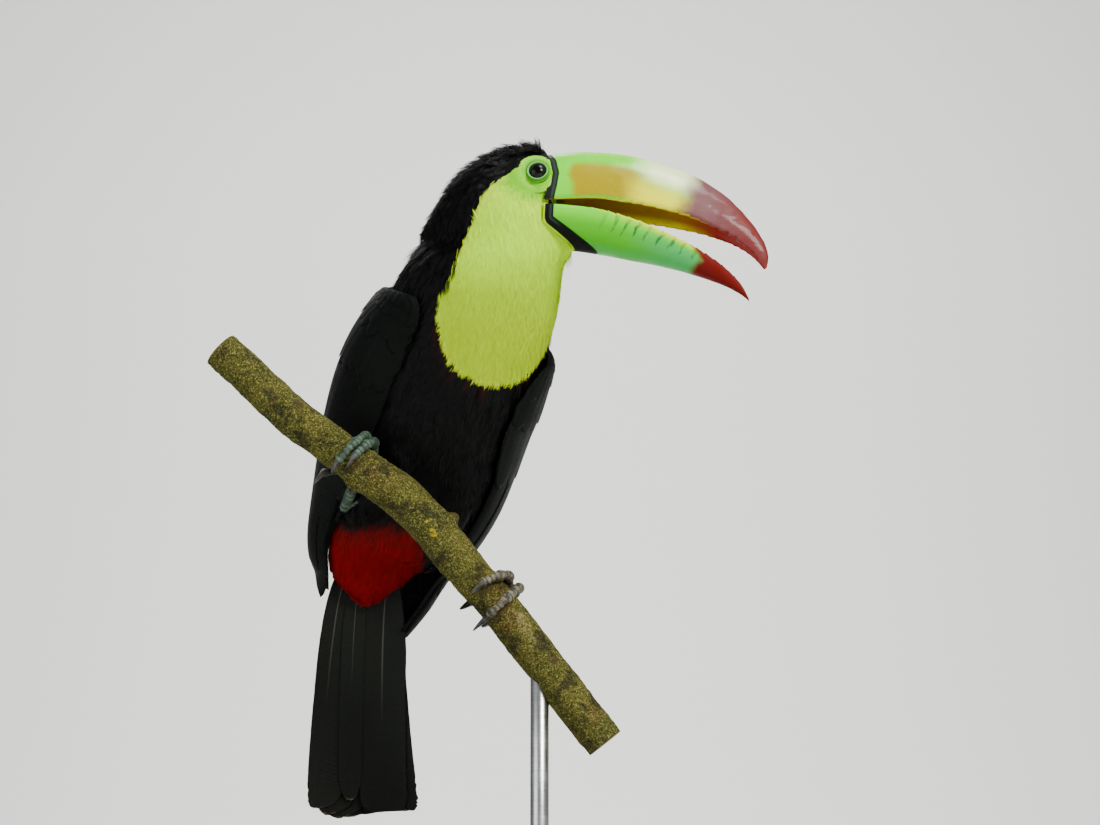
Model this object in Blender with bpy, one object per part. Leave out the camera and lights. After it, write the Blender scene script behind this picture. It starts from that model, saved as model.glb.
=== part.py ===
"""A keel-billed toucan at life size, perched on a cut length of branch that a plain stand holds.

Metres, +Z up. The origin is the middle of the underside of the stand's base. The bird's trunk
faces -Y and a little to +X, its head turns to +X, and the branch runs from upper -X to lower +X
in a plane of constant Y in front of the belly.
"""

import math
from typing import NamedTuple

import bmesh
import bpy
import numpy as np
from mathutils import Matrix, Vector

MM = 0.001
CLEARANCE = 0.35 * MM          # gap kept between pieces that touch

# Branch and stand
PERCH_Y = -36.5 * MM           # the branch lies in this plane
PERCH_RADIUS = 9.6 * MM
ROD_X = 45 * MM                # where the rod meets the branch
ROD_RADIUS = 4.5 * MM
ROD_SOCKET = 8 * MM            # how far the rod goes into the branch
FLANGE_RADIUS = 15 * MM
FLANGE_HEIGHT = 4 * MM
FLANGE_CHAMFER = 1.6 * MM
ROD_FILLET = 2 * MM            # where the rod meets its flange
BASE_RADIUS = 96 * MM
BASE_HEIGHT = 16 * MM
BASE_EDGE = 4 * MM             # width of the base's rounded upper edge
BASE_CHAMFER = 1.5 * MM        # round its underside

# Head and bill
GAPE = Vector((51 * MM, -60 * MM, 338.4 * MM))   # middle of the gape, where the two mandibles meet
HEAD_TURN = math.radians(84)   # from facing -Y, towards +X
HEAD_ROLL = math.radians(6.5)  # crown away from -Y
EYE_RADIUS = 5.6 * MM
EYE_REACH = -5.2 * MM          # eye centre from the gape, along the bill
EYE_HEIGHT = 11.4 * MM         # and above it
EYE_OUT = 16.0 * MM            # and to the side
VAULT = 0.22                   # how far the palate and the jaw floor are hollowed, of their height

# Wings, tail and legs
WING_LIFT = 1.0 * MM           # gap between the wing and the body under it
TAIL_THICKNESS = 4.2 * MM
TAIL_CAMBER = 2.2 * MM         # the tail bends towards the belly by this much,
CAMBER_HALF_WIDTH = 20 * MM    # this far from its middle
TARSUS_RADIUS = 2.9 * MM
SHANK_BEND = 1.0 * MM          # the shank bows back by this much halfway down
ANKLE_TURN = -44               # where the shank meets the branch, in degrees from its upper side
TOE_RADIUS = 2.7 * MM
TOE_TAPER = 0.25               # share of its radius that a toe loses towards the claw
KNUCKLE_SWELL = 0.10           # share of its radius by which a toe swells at its knuckles
TOE_SEAT = 1.12                # the toe's middle lies this many radii off the bark
CLAW_RADIUS = 1.5 * MM
CLAW_TIP = 0.35 * MM


class Station(NamedTuple):
    """A cross-section of the bird: its middle, its reaches and where its front faces (mm, degrees)."""

    x: float
    y: float
    z: float
    half_width: float
    front: float
    back: float
    facing: float


# From below the rump to the crown. The first three carry the wing tips only.
BODY = {
    "wing_tips": Station(-48, 53, 144, 20.5, 12, 16, 8),
    "tail_root": Station(-40.5, 47, 165, 29, 17, 20, 9),
    "vent": Station(-34.5, 37, 186, 37, 24, 24, 11),
    "thighs": Station(-20.5, 21, 218, 45, 33, 31, 16),
    "belly": Station(-7, -2, 256, 46.5, 40, 36, 19),
    "shoulders": Station(9.5, -25, 288, 43.5, 38, 35, 24),
    "neck": Station(20.5, -40, 310, 39.5, 35, 36, 40),
    "throat": Station(24.5, -50, 327, 27.5, 38, 41.5, 72),
    "cheeks": Station(23, -56, 340.5, 21.5, 44, 29, 84),
    "eyes": Station(27.5, -58, 352.5, 20.5, 44, 24.5, 84),
    "brow": Station(32, -58, 361.5, 15.5, 34, 17.5, 84),
    "crown": Station(35, -57, 367.2, 8.5, 20, 10.5, 84),
    "top": Station(36, -57, 369.4, 2.0, 5, 3, 84),
}
TRUNK_END = 2.02               # levels count the stations from 0
NECK_LEVEL = list(BODY).index("neck")
CHEEK_LEVEL = list(BODY).index("cheeks")


class WingStation(NamedTuple):
    """A strip across the folded wing: place on the body, edges round it in degrees, thickness."""

    level: float
    fore_edge: float
    rear_edge: float
    thickness: float


WING = (
    WingStation(5.18, 74, 102, 1.4),
    WingStation(5.06, 57, 120, 3.4),
    WingStation(4.78, 47, 134, 5.6),
    WingStation(4.20, 43, 148, 7.2),
    WingStation(3.50, 45, 160, 6.2),
    WingStation(2.70, 48, 160, 5.4),
    WingStation(1.90, 54, 148, 4.6),
    WingStation(1.20, 66, 134, 3.6),
    WingStation(0.60, 80, 122, 2.8),
    WingStation(0.20, 92, 112, 2.0),
)

THIGH = (
    WingStation(3.55, 18, 27, 1.2),
    WingStation(3.38, 13, 34, 2.8),
    WingStation(3.10, 11, 39, 5.0),
    WingStation(2.80, 13, 41, 6.5),
    WingStation(2.50, 20, 41, 6.2),
    WingStation(2.32, 27, 38, 3.0),
)

# Where feathers end and horn begins, seen from the side: (reach, height) from the gape (mm)
BILL_BASE = (
    (-8, 60), (-4.5, 28), (0.4, 20), (2.2, 12), (1.4, 5),
    (0, -1.5), (-0.8, -13), (11.0, -22.8), (24, -26.4),
)


class BillStation(NamedTuple):
    """A cut across a mandible: ridge and cutting edge as (reach, height) from the gape, half width."""

    ridge_reach: float
    ridge_height: float
    edge_reach: float
    edge_height: float
    half_width: float


UPPER_BILL = (
    BillStation(-10, 24.6, -8, -1.8, 17.4),
    BillStation(-1.8, 26.6, 0, -1.6, 17.2),
    BillStation(10, 27.8, 11, -1.2, 16.8),
    BillStation(23, 27.4, 24, -1.2, 16.0),
    BillStation(36, 25.9, 36, -3.2, 15.2),
    BillStation(49, 22.4, 48, -5.3, 14.2),
    BillStation(62.4, 17.4, 60, -8.2, 12.6),
    BillStation(75, 10.8, 71, -11.8, 10.6),
    BillStation(87, 1.2, 80.5, -15.8, 8.3),
    BillStation(96.5, -10, 89, -20.6, 6.0),
    BillStation(102.5, -20, 95.6, -25.6, 4.0),
    BillStation(104.8, -27.6, 100, -30.6, 2.2),
    BillStation(103.9, -33.6, 102.6, -34.2, 0.7),
)

LOWER_BILL = (
    BillStation(-4, -19.2, -8, -4.0, 16.6),
    BillStation(6, -20.8, 2, -4.2, 16.4),
    BillStation(17, -22.6, 12.5, -5.2, 16.0),
    BillStation(26, -24.6, 24, -6.6, 15.2),
    BillStation(36, -27.0, 34, -9.2, 14.2),
    BillStation(49, -30.0, 48, -14.2, 12.4),
    BillStation(62, -33.7, 61, -20.0, 10.0),
    BillStation(75, -38.4, 74, -27.0, 7.4),
    BillStation(85, -42.8, 84, -34.2, 4.8),
    BillStation(91.5, -47.0, 91, -41.4, 2.6),
    BillStation(95.4, -50.4, 95.2, -49.0, 0.7),
)

# Spine of the tail, from the end of the trunk to its tip, with its half width there (mm)
TAIL = (
    (-35.0, 37.6, 185.6, 12.0),
    (-41.5, 43.5, 172.0, 14.5),
    (-44.5, 47.5, 156.0, 18.0),
    (-46.0, 51.0, 130.0, 20.5),
    (-46.5, 54.0, 100.0, 23.5),
    (-46.5, 56.5, 72.0, 26.5),
    (-46.0, 58.0, 56.0, 27.0),
    (-46.0, 58.5, 49.5, 23.5),
    (-45.5, 58.7, 47.0, 15.0),
)
TAIL_FACING = 7.0

# The branch's middle line (x, z) and how thick it is there, of PERCH_RADIUS
PERCH = (
    (-112, 272.8, 0.98),
    (-94, 256.2, 1.00),
    (-78, 241.2, 1.02),
    (-62, 228.8, 1.00),
    (-47, 217.8, 1.00),
    (-35, 209.0, 1.06),
    (-23.4, 200.6, 1.10),
    (-13, 190.6, 1.06),
    (-3.5, 179.6, 1.06),
    (5, 169.4, 1.08),
    (13.5, 159.4, 1.02),
    (24.3, 147.0, 1.00),
    (35, 133.6, 1.02),
    (45.2, 120.6, 1.00),
    (60, 101.4, 1.02),
    (76.5, 80.4, 0.99),
)
KNOB_X = -5.5 * MM             # a twig's stump on the upper side
KNOB_RADIUS = 2.8 * MM
KNOB_LENGTH = 3.6 * MM


def clear_scene():
    """Remove every object, so that the model is all that the scene holds."""
    for item in list(bpy.data.objects):
        bpy.data.objects.remove(item, do_unlink=True)


def material(name, colour, roughness, metallic=0.0):
    """Return a Principled material with one colour."""
    made = bpy.data.materials.new(name)
    made.use_nodes = True
    made.diffuse_color = (*colour, 1.0)
    shader = made.node_tree.nodes["Principled BSDF"]
    shader.inputs["Base Color"].default_value = (*colour, 1.0)
    shader.inputs["Roughness"].default_value = roughness
    shader.inputs["Metallic"].default_value = metallic
    return made


def add_object(name, bm, finish=None):
    """Make an object from a bmesh, faces pointing out, smooth where it is round."""
    bmesh.ops.recalc_face_normals(bm, faces=bm.faces)
    mesh = bpy.data.meshes.new(name)
    bm.to_mesh(mesh)
    bm.free()
    mesh.shade_smooth()
    mesh.set_sharp_from_angle(angle=math.radians(40))
    if finish is not None:
        mesh.materials.append(finish)
    made = bpy.data.objects.new(name, mesh)
    bpy.context.scene.collection.objects.link(made)
    return made


def loft_bmesh(rings):
    """Join rings of points, each with the same number, into a closed body with flat ends."""
    bm = bmesh.new()
    loops = [[bm.verts.new(point) for point in ring] for ring in rings]
    for lower, upper in zip(loops, loops[1:]):
        for i in range(len(lower)):
            j = (i + 1) % len(lower)
            bm.faces.new((lower[i], lower[j], upper[j], upper[i]))
    for loop in (loops[0][::-1], loops[-1]):
        middle = bm.verts.new(sum((v.co for v in loop), Vector()) / len(loop))
        for i in range(len(loop)):
            bm.faces.new((loop[i], loop[(i + 1) % len(loop)], middle))
    return bm


def loft(name, rings, finish):
    """Make an object that is lofted through rings."""
    return add_object(name, loft_bmesh(rings), finish)


def along(rows, place):
    """Read rows of numbers at a place between them, on a smooth curve through them."""
    table = np.array(rows, dtype=float)
    place = min(max(place, 0.0), len(table) - 1.0)
    i = min(int(place), len(table) - 2)
    before = table[max(i - 1, 0)]
    start, end = table[i], table[i + 1]
    after = table[min(i + 2, len(table) - 1)]
    u = place - i
    slope_in = (end - before) / 2
    slope_out = (after - start) / 2
    return ((2 * u**3 - 3 * u**2 + 1) * start + (u**3 - 2 * u**2 + u) * slope_in
            + (3 * u**2 - 2 * u**3) * end + (u**3 - u**2) * slope_out)


def steps(start, end, count):
    """Return count + 1 evenly spaced numbers."""
    return [start + (end - start) * i / count for i in range(count + 1)]


def body_frame(level):
    """Return a body section's middle, front and left directions, and its reaches in metres."""
    row = along(list(BODY.values()), level)
    ahead = along(list(BODY.values()), level + 0.02)
    behind = along(list(BODY.values()), level - 0.02)
    spine = Vector(ahead[:3] - behind[:3]).normalized()
    share = min(max((level - NECK_LEVEL) / (CHEEK_LEVEL - NECK_LEVEL), 0.0), 1.0)
    axis = spine.lerp(Vector((0, math.sin(HEAD_ROLL), math.cos(HEAD_ROLL))), share).normalized()
    facing = math.radians(row[6])
    forward = Vector((math.sin(facing), -math.cos(facing), 0))
    front = (forward - axis * forward.dot(axis)).normalized()
    left = axis.cross(front)
    return Vector(row[:3]) * MM, front, left, row[3:6] * MM


def body_point(level, degrees, lift=0.0):
    """Return a point on the body: degrees from the middle of the front, towards the bird's left."""
    middle, front, left, (half_width, front_reach, back_reach) = body_frame(level)
    turn = math.radians(degrees)
    reach = front_reach if math.cos(turn) > 0 else back_reach
    offset = left * half_width * math.sin(turn) + front * reach * math.cos(turn)
    return middle + offset + offset.normalized() * lift


def body_ring(level, sides):
    """Return a closed section of the body."""
    return [body_point(level, 360 * i / sides) for i in range(sides)]


def body_length(name, start, end, count, sides, finish):
    """Make one length of the body, between two levels."""
    return loft(name, [body_ring(level, sides) for level in steps(start, end, count)], finish)


def side_shell(name, rows, side, across, count, finish):
    """Make a shell that lies on the body's side (+1 left, -1 right), thickest along its middle."""
    rings = []
    for place in steps(0, len(rows) - 1, count):
        level, fore, rear, thickness = along(rows, place)
        inner, outer = [], []
        for i in range(across + 1):
            share = i / across
            turn = side * (fore + (rear - fore) * share)
            swell = (4 * share * (1 - share)) ** 0.55
            depth = max(thickness * swell, 0.9) * MM
            inner.append(body_point(level, turn, WING_LIFT))
            outer.append(body_point(level, turn, WING_LIFT + depth))
        rings.append(outer + inner[::-1])
    return loft(name, rings, finish)


def head_point(reach, height, out):
    """Return a point from its place along the bill, above the gape and to the bird's right (mm)."""
    forward = Vector((math.sin(HEAD_TURN), -math.cos(HEAD_TURN), 0))
    plain_right = forward.cross(Vector((0, 0, 1)))
    up = Vector((0, 0, math.cos(HEAD_ROLL))) - plain_right * math.sin(HEAD_ROLL)
    right = forward.cross(up)
    return GAPE + (forward * reach + up * height + right * out) * MM


def mandible(name, rows, count, finish, fullness):
    """Make one half of the bill: a keeled arch over a shallow hollow."""
    rings = []
    outer_sides, hollow_sides = 12, 6
    for place in steps(0, len(rows) - 1, count):
        ridge_u, ridge_v, edge_u, edge_v, half_width = along(rows, place)
        ring = []
        for i in range(outer_sides + 1):
            turn = math.pi * i / outer_sides
            rise = math.sin(turn) ** fullness
            ring.append(head_point(edge_u + (ridge_u - edge_u) * rise,
                                   edge_v + (ridge_v - edge_v) * rise,
                                   half_width * math.cos(turn)))
        for i in range(1, hollow_sides):
            side = -1 + 2 * i / hollow_sides
            rise = VAULT * (1 - side * side)
            ring.append(head_point(edge_u + (ridge_u - edge_u) * rise,
                                   edge_v + (ridge_v - edge_v) * rise,
                                   half_width * side))
        rings.append(ring)
    return loft(name, rings, finish)


def ball(name, centre, radius, finish):
    """Make a sphere."""
    bm = bmesh.new()
    bmesh.ops.create_uvsphere(bm, u_segments=12, v_segments=8, radius=radius,
                              matrix=Matrix.Translation(centre))
    return add_object(name, bm, finish)


def modify(target, tool, operation):
    """Cut a tool out of a target, or join it on, with an exact Boolean; the tool then hides."""
    step = target.modifiers.new(operation.lower(), "BOOLEAN")
    step.object = tool
    step.operation = operation
    step.solver = "EXACT"
    tool.hide_render = True
    tool.display_type = "WIRE"
    return target


def bill_base_cutter(name, far_reach, shift):
    """Make the cutter with the bill's base line on one side: a prism right through the head."""
    line = [(reach + shift, height) for reach, height in BILL_BASE]
    outline = line + [(far_reach, BILL_BASE[-1][1] - 8), (far_reach, BILL_BASE[0][1])]
    return loft(name, [[head_point(u, v, out) for u, v in outline] for out in (-45, 45)], None)


def tube_rings(points, radii, sides):
    """Return rings round a path, square to it and without twist."""
    rings = []
    side_way = None
    for i, point in enumerate(points):
        before = points[max(i - 1, 0)]
        after = points[min(i + 1, len(points) - 1)]
        axis = (after - before).normalized()
        if side_way is None:
            side_way = axis.orthogonal().normalized()
        side_way = (side_way - axis * side_way.dot(axis)).normalized()
        other = axis.cross(side_way)
        rings.append([point + (side_way * math.cos(turn) + other * math.sin(turn)) * radii[i]
                      for turn in (2 * math.pi * k / sides for k in range(sides))])
    return rings


def perch_frame(x):
    """Return the branch's middle, axis and radius where it passes x, all in metres."""
    rows = [(row[0] * MM, row[1] * MM, row[2] * PERCH_RADIUS) for row in PERCH]
    low, high = 0.0, len(rows) - 1.0
    for _ in range(40):
        middle = (low + high) / 2
        if along(rows, middle)[0] < x:
            low = middle
        else:
            high = middle
    here, ahead = along(rows, low), along(rows, low + 0.05)
    centre = Vector((here[0], PERCH_Y, here[1]))
    axis = Vector((ahead[0] - here[0], 0, ahead[1] - here[1])).normalized()
    return centre, axis, here[2]


def perch(finish):
    """Make the cut branch with its swellings, a hole for the rod and the stump of a twig."""
    rows = [(row[0] * MM, PERCH_Y, row[1] * MM, row[2] * PERCH_RADIUS) for row in PERCH]
    read = [along(rows, place) for place in steps(0, len(rows) - 1, 24)]
    branch = loft("perch", tube_rings([Vector(r[:3]) for r in read], [r[3] for r in read], 12), finish)
    centre, axis, radius = perch_frame(KNOB_X)
    outward = Vector((-axis.z, 0, axis.x))
    foot, tip = centre + outward * radius * 0.6, centre + outward * (radius + KNOB_LENGTH)
    knob = loft("join_knob", tube_rings([foot, (foot + tip) / 2, tip],
                                        [KNOB_RADIUS * 1.3, KNOB_RADIUS, KNOB_RADIUS * 0.75], 8), finish)
    modify(branch, knob, "UNION")
    return branch


def ring_round_perch(centre, axis, degrees, distance, shift):
    """Return a point round the branch: 0 is its upper side, 90 the side at -Y, 180 underneath."""
    upper = Vector((-axis.z, 0, axis.x))
    turn = math.radians(degrees)
    return centre + axis * shift + (upper * math.cos(turn) + Vector((0, -1, 0)) * math.sin(turn)) * distance


class Toe(NamedTuple):
    """A toe round the branch: start and end angle, shift along the branch at each, claw's end."""

    start: float
    end: float
    shift_start: float
    shift_end: float
    claw_end: float
    claw_out: float


RIGHT_TOES = (
    Toe(-40, 116, -1.6, -4.5, 160, 1.5),
    Toe(-40, 92, 2.4, 2.8, 138, 1.0),
    Toe(-50, -160, -1.6, -9.5, -182, 8.0),
    Toe(-50, -128, 1.6, 6.0, -168, 0.5),
)
LEFT_TOES = (
    Toe(-40, 120, 2.2, 4.5, 168, 5.0),
    Toe(-40, 84, -2.6, -9.0, 118, 0.4),
    Toe(-50, -128, -1.6, -8.0, -176, 2.5),
    Toe(-50, -120, 1.6, 5.0, -160, 0.6),
)


def toe(name, perch_x, shape, finish):
    """Make a knuckled toe with its claw, lying on the branch."""
    centre, axis, radius = perch_frame(perch_x)
    bark = radius + CLEARANCE
    points, radii = [], []
    for i in range(7):
        share = i / 6
        swell = 1 + KNUCKLE_SWELL * math.cos(share * 6 * math.pi)
        angle = shape.start + (shape.end - shape.start) * share
        shift = (shape.shift_start + (shape.shift_end - shape.shift_start) * share) * MM
        points.append(ring_round_perch(centre, axis, angle, bark + TOE_RADIUS * TOE_SEAT, shift))
        radii.append(TOE_RADIUS * (1 - TOE_TAPER * share) * swell)
    for i in range(1, 4):
        share = i / 3
        angle = shape.end + (shape.claw_end - shape.end) * share
        seat = TOE_RADIUS * (TOE_SEAT - 0.2 * share)
        distance = bark + seat + shape.claw_out * MM * share**2
        points.append(ring_round_perch(centre, axis, angle, distance, shape.shift_end * MM))
        radii.append(CLAW_RADIUS * (1 - share) + CLAW_TIP)
    return loft(name, tube_rings(points, radii, 6), finish)


def leg(side_name, perch_x, heel, toes, thigh, finish):
    """Make one foot and its shank, from the heel in the thigh over the branch to the claws."""
    centre, axis, radius = perch_frame(perch_x)
    ankle = ring_round_perch(centre, axis, ANKLE_TURN, radius + CLEARANCE + TOE_RADIUS * 1.35, 0)
    bend = (heel + ankle) / 2 + Vector((0, SHANK_BEND, 0))
    points = [Vector(along([heel, bend, ankle], place)) for place in steps(0, 2, 8)]
    radii = [TARSUS_RADIUS * (1.0 + 0.18 * abs(end)) for end in steps(-1, 1, 8)]
    shank = loft("leg_" + side_name, tube_rings(points, radii, 9), finish)
    room_points = [points[0] * 2 - points[1]] + points
    room_radii = [reach + CLEARANCE for reach in radii[:1] + radii]
    room = loft("cut_shank_" + side_name, tube_rings(room_points, room_radii, 9), None)
    modify(thigh, room, "DIFFERENCE")
    pad = ball("join_pad_" + side_name, ankle + Vector((0, 0.4 * MM, 0)), TOE_RADIUS * 1.5, finish)
    modify(shank, pad, "UNION")
    for i, shape in enumerate(toes):
        modify(shank, toe("join_toe_%s_%d" % (side_name, i), perch_x, shape, finish), "UNION")


def tail_directions(place):
    """Return the directions across and behind the tail; its spine leaves the trunk at an angle."""
    front, left = body_frame(TRUNK_END)[1:3]
    axis = front.cross(left).lerp(Vector((0, 0, 1)), min(place, 1.0)).normalized()
    facing = math.radians(TAIL_FACING)
    forward = Vector((math.sin(facing), -math.cos(facing), 0))
    behind = (axis * forward.dot(axis) - forward).normalized()
    return axis.cross(forward).normalized(), behind


def tail_point(place, sideways, lift):
    """Return a point off the tail's cambered middle surface, in metres from its spine and from it."""
    across, behind = tail_directions(place)
    camber = TAIL_CAMBER * (sideways / CAMBER_HALF_WIDTH) ** 2
    return Vector(along(TAIL, place)[:3]) * MM + across * sideways + behind * (lift - camber)


def tail(finish):
    """Make the closed tail: a thin blade, cambered across, with a rounded end."""
    rings = []
    for place in steps(1, len(TAIL) - 1, 12):
        half_width = along(TAIL, place)[3] * MM
        front, back = [], []
        for side in steps(-1, 1, 8):
            lift = TAIL_THICKNESS / 2 * (1 - 0.62 * side * side)
            front.append(tail_point(place, half_width * side, -lift))
            back.append(tail_point(place, half_width * side, lift))
        rings.append(front + back[::-1])
    return loft("tail", rings, finish)


class CovertStation(NamedTuple):
    """A section of the coverts over or under the tail: place on its spine, half width, depth (mm)."""

    place: float
    half_width: float
    depth: float


UNDER_COVERTS = (
    CovertStation(0.0, 31.5, 20.5),
    CovertStation(0.8, 26.0, 18.0),
    CovertStation(1.4, 20.0, 13.5),
    CovertStation(1.9, 10.5, 8.5),
    CovertStation(2.15, 3.5, 3.0),
)
UPPER_COVERTS = (
    CovertStation(0.0, 31.5, 19.5),
    CovertStation(1.0, 21.0, 12.5),
    CovertStation(1.9, 15.0, 8.0),
    CovertStation(2.5, 11.5, 5.0),
    CovertStation(3.0, 5.0, 2.4),
)


def coverts(name, rows, side, finish):
    """Make the coverts on one face of the tail (-1 under, +1 upper): a half-round wedge."""
    rings = []
    for step in steps(0, len(rows) - 1, 8):
        place, half_width, depth = along(rows, step)
        lift = TAIL_THICKNESS / 2 + CLEARANCE
        dome, flat = [], []
        for turn in steps(0, math.pi, 12):
            rise = depth * MM * math.sin(turn) ** 0.8
            dome.append(tail_point(place, -half_width * MM * math.cos(turn), side * (lift + rise)))
        for share in steps(1, -1, 6)[1:-1]:
            flat.append(tail_point(place, half_width * MM * share, side * lift))
        rings.append(dome + flat)
    return loft(name, rings, finish)


def turned(name, profile, centre, sides, finish):
    """Make a turned piece from a profile of (radius, height), closed on its axis at both ends."""
    rings = [[centre + Vector((radius * math.cos(turn), radius * math.sin(turn), height))
              for turn in (2 * math.pi * k / sides for k in range(sides))]
             for radius, height in profile]
    return loft(name, rings, finish)


def stand(wood, steel):
    """Make the round base and the flanged rod, and return the cutter of the rod's hole."""
    profile = [(BASE_RADIUS - BASE_CHAMFER, 0.0), (BASE_RADIUS, BASE_CHAMFER)]
    for i in range(5):
        turn = math.pi / 2 * i / 4
        profile.append((BASE_RADIUS - BASE_EDGE * (1 - math.cos(turn)),
                        BASE_HEIGHT - BASE_EDGE * (1 - math.sin(turn))))
    turned("stand_base", profile, Vector(), 36, wood)
    centre, axis, radius = perch_frame(ROD_X)
    underside = centre.z - radius / abs(axis.x)
    foot = BASE_HEIGHT + CLEARANCE
    flange_top = foot + FLANGE_HEIGHT
    profile = [(FLANGE_RADIUS, foot), (FLANGE_RADIUS, flange_top - FLANGE_CHAMFER),
               (FLANGE_RADIUS - FLANGE_CHAMFER, flange_top), (ROD_RADIUS + ROD_FILLET, flange_top),
               (ROD_RADIUS, flange_top + ROD_FILLET), (ROD_RADIUS, underside + ROD_SOCKET)]
    turned("stand_rod", profile, Vector((centre.x, centre.y, 0)), 16, steel)
    hole_radius, hole_end = ROD_RADIUS + CLEARANCE, underside + ROD_SOCKET + CLEARANCE
    hole = [(hole_radius, foot), (hole_radius, hole_end)]
    return turned("cut_rod_hole", hole, Vector((centre.x, centre.y, 0)), 16, None)


def main():
    """Build the bird, its branch and the stand."""
    clear_scene()
    black = material("plumage_black", (0.008, 0.009, 0.009), 0.55)
    yellow = material("plumage_yellow", (0.60, 0.75, 0.08), 0.7)
    red = material("coverts_red", (0.30, 0.005, 0.006), 0.65)
    white = material("rump_white", (0.75, 0.73, 0.66), 0.7)
    green = material("bill_green", (0.28, 0.60, 0.06), 0.3)
    skin = material("foot_skin", (0.20, 0.38, 0.32), 0.6)
    eye_black = material("eye_dark", (0.01, 0.01, 0.01), 0.05)
    bark = material("bark", (0.22, 0.18, 0.05), 0.85)
    wood = material("stand_wood", (0.10, 0.05, 0.025), 0.4)
    steel = material("stand_steel", (0.60, 0.60, 0.60), 0.3, 1.0)

    seam = CLEARANCE / (15 * MM)          # half a gap between lengths of the body, in levels
    body_length("trunk", TRUNK_END, 5.5 - seam / 2, 16, 28, black)
    neck = body_length("neck", 5.5 + seam / 2, 7.3 - seam / 2, 7, 26, yellow)
    head = body_length("head", 7.3 + seam / 2, 12, 12, 26, yellow)
    bill_room = bill_base_cutter("cut_bill_room", 90, -CLEARANCE / MM / 2)
    modify(neck, bill_room, "DIFFERENCE")
    modify(head, bill_room, "DIFFERENCE")
    for side_name, side in (("right", 1), ("left", -1)):
        centre = head_point(EYE_REACH / MM, EYE_HEIGHT / MM, side * EYE_OUT / MM)
        ball("eye_" + side_name, centre, EYE_RADIUS, eye_black)
        modify(head, ball("cut_eye_" + side_name, centre, EYE_RADIUS + CLEARANCE, None), "DIFFERENCE")
    head_room = bill_base_cutter("cut_head_room", -90, CLEARANCE / MM / 2)
    modify(mandible("bill_upper", UPPER_BILL, 14, green, 0.86), head_room, "DIFFERENCE")
    modify(mandible("bill_lower", LOWER_BILL, 12, green, 0.80), head_room, "DIFFERENCE")

    for side_name, side in (("left", 1), ("right", -1)):
        side_shell("wing_" + side_name, WING, side, 8, 16, black)
    thigh_left = side_shell("thigh_left", THIGH, 1, 5, 8, black)
    thigh_right = side_shell("thigh_right", THIGH, -1, 5, 8, black)
    tail(black)
    coverts("coverts_under", UNDER_COVERTS, -1, red)
    coverts("coverts_upper", UPPER_COVERTS, 1, white)

    branch = perch(bark)
    modify(branch, stand(wood, steel), "DIFFERENCE")
    leg("right", -45.5 * MM, Vector((-53.0, -4, 198)) * MM, RIGHT_TOES, thigh_right, skin)
    leg("left", 23 * MM, Vector((-1.5, 5, 183)) * MM, LEFT_TOES, thigh_left, skin)


main()
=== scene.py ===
"""The looks of a life-size keel-billed toucan on a cut branch, which a plain stand holds up.

Lengths are in metres, and in millimetres where a name or a table says so. +Z is up, the trunk
faces -Y and the bill points along +X.
"""

import logging
import math
from dataclasses import dataclass, field
from enum import Enum

import bmesh
import bpy
import numpy as np
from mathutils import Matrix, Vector, noise
from mathutils.bvhtree import BVHTree


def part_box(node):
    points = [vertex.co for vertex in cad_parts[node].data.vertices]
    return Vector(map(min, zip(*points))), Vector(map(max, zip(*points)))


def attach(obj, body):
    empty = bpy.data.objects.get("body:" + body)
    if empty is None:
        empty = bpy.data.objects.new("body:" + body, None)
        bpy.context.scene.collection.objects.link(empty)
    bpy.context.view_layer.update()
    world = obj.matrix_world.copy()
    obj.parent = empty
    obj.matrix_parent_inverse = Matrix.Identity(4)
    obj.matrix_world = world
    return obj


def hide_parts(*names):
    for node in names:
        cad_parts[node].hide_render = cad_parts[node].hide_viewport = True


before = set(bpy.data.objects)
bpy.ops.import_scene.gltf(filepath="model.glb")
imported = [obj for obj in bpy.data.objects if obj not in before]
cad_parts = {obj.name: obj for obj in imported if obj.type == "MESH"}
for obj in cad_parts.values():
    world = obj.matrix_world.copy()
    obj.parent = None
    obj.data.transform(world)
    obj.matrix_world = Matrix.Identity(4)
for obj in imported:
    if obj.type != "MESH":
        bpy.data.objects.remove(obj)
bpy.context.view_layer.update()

LOG = logging.getLogger("toucan")
MM = 0.001
PATCH = 0.003                  # side of a feather's patch on its map for baking
Array = np.ndarray
Colour = tuple[float, float, float]
Triple = tuple[float, float, float]
Table = tuple[tuple[float, ...], ...]
Material, Node, Tree = bpy.types.Material, bpy.types.Node, bpy.types.NodeTree


# ---------------------------------------------------------------------------------------- numbers

def unit(vectors: Array) -> Array:
    """Return vectors of length 1."""
    return vectors / np.maximum(np.linalg.norm(vectors, axis=-1, keepdims=True), 1e-12)


def dot(a: Array, b: Array) -> Array:
    """Return dot products along the last axis, which stays with length 1."""
    return (a * b).sum(axis=-1, keepdims=True)


def ease(low: float, high: float, value: Array) -> Array:
    """Return 0 below low, 1 above high and a smooth rise between them."""
    share = np.clip((value - low) / (high - low), 0.0, 1.0)
    return share * share * (3 - 2 * share)


def read_along(rows: Array, place: Array) -> Array:
    """Read a table at places between its rows, on a smooth curve through them.

    Args:
        rows: Numbers, a row for each whole place.
        place: Places to read, of any shape.

    Returns:
        The rows read, with the columns as the last axis.
    """
    place = np.clip(np.asarray(place, float), 0.0, len(rows) - 1.0)
    i = np.minimum(place.astype(int), len(rows) - 2)
    u = (place - i)[..., None]
    before, start = rows[np.maximum(i - 1, 0)], rows[i]
    end, after = rows[i + 1], rows[np.minimum(i + 2, len(rows) - 1)]
    return ((2 * u**3 - 3 * u**2 + 1) * start + (u**3 - 2 * u**2 + u) * (end - before) / 2
            + (3 * u**2 - 2 * u**3) * end + (u**3 - u**2) * (after - start) / 2)


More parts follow.
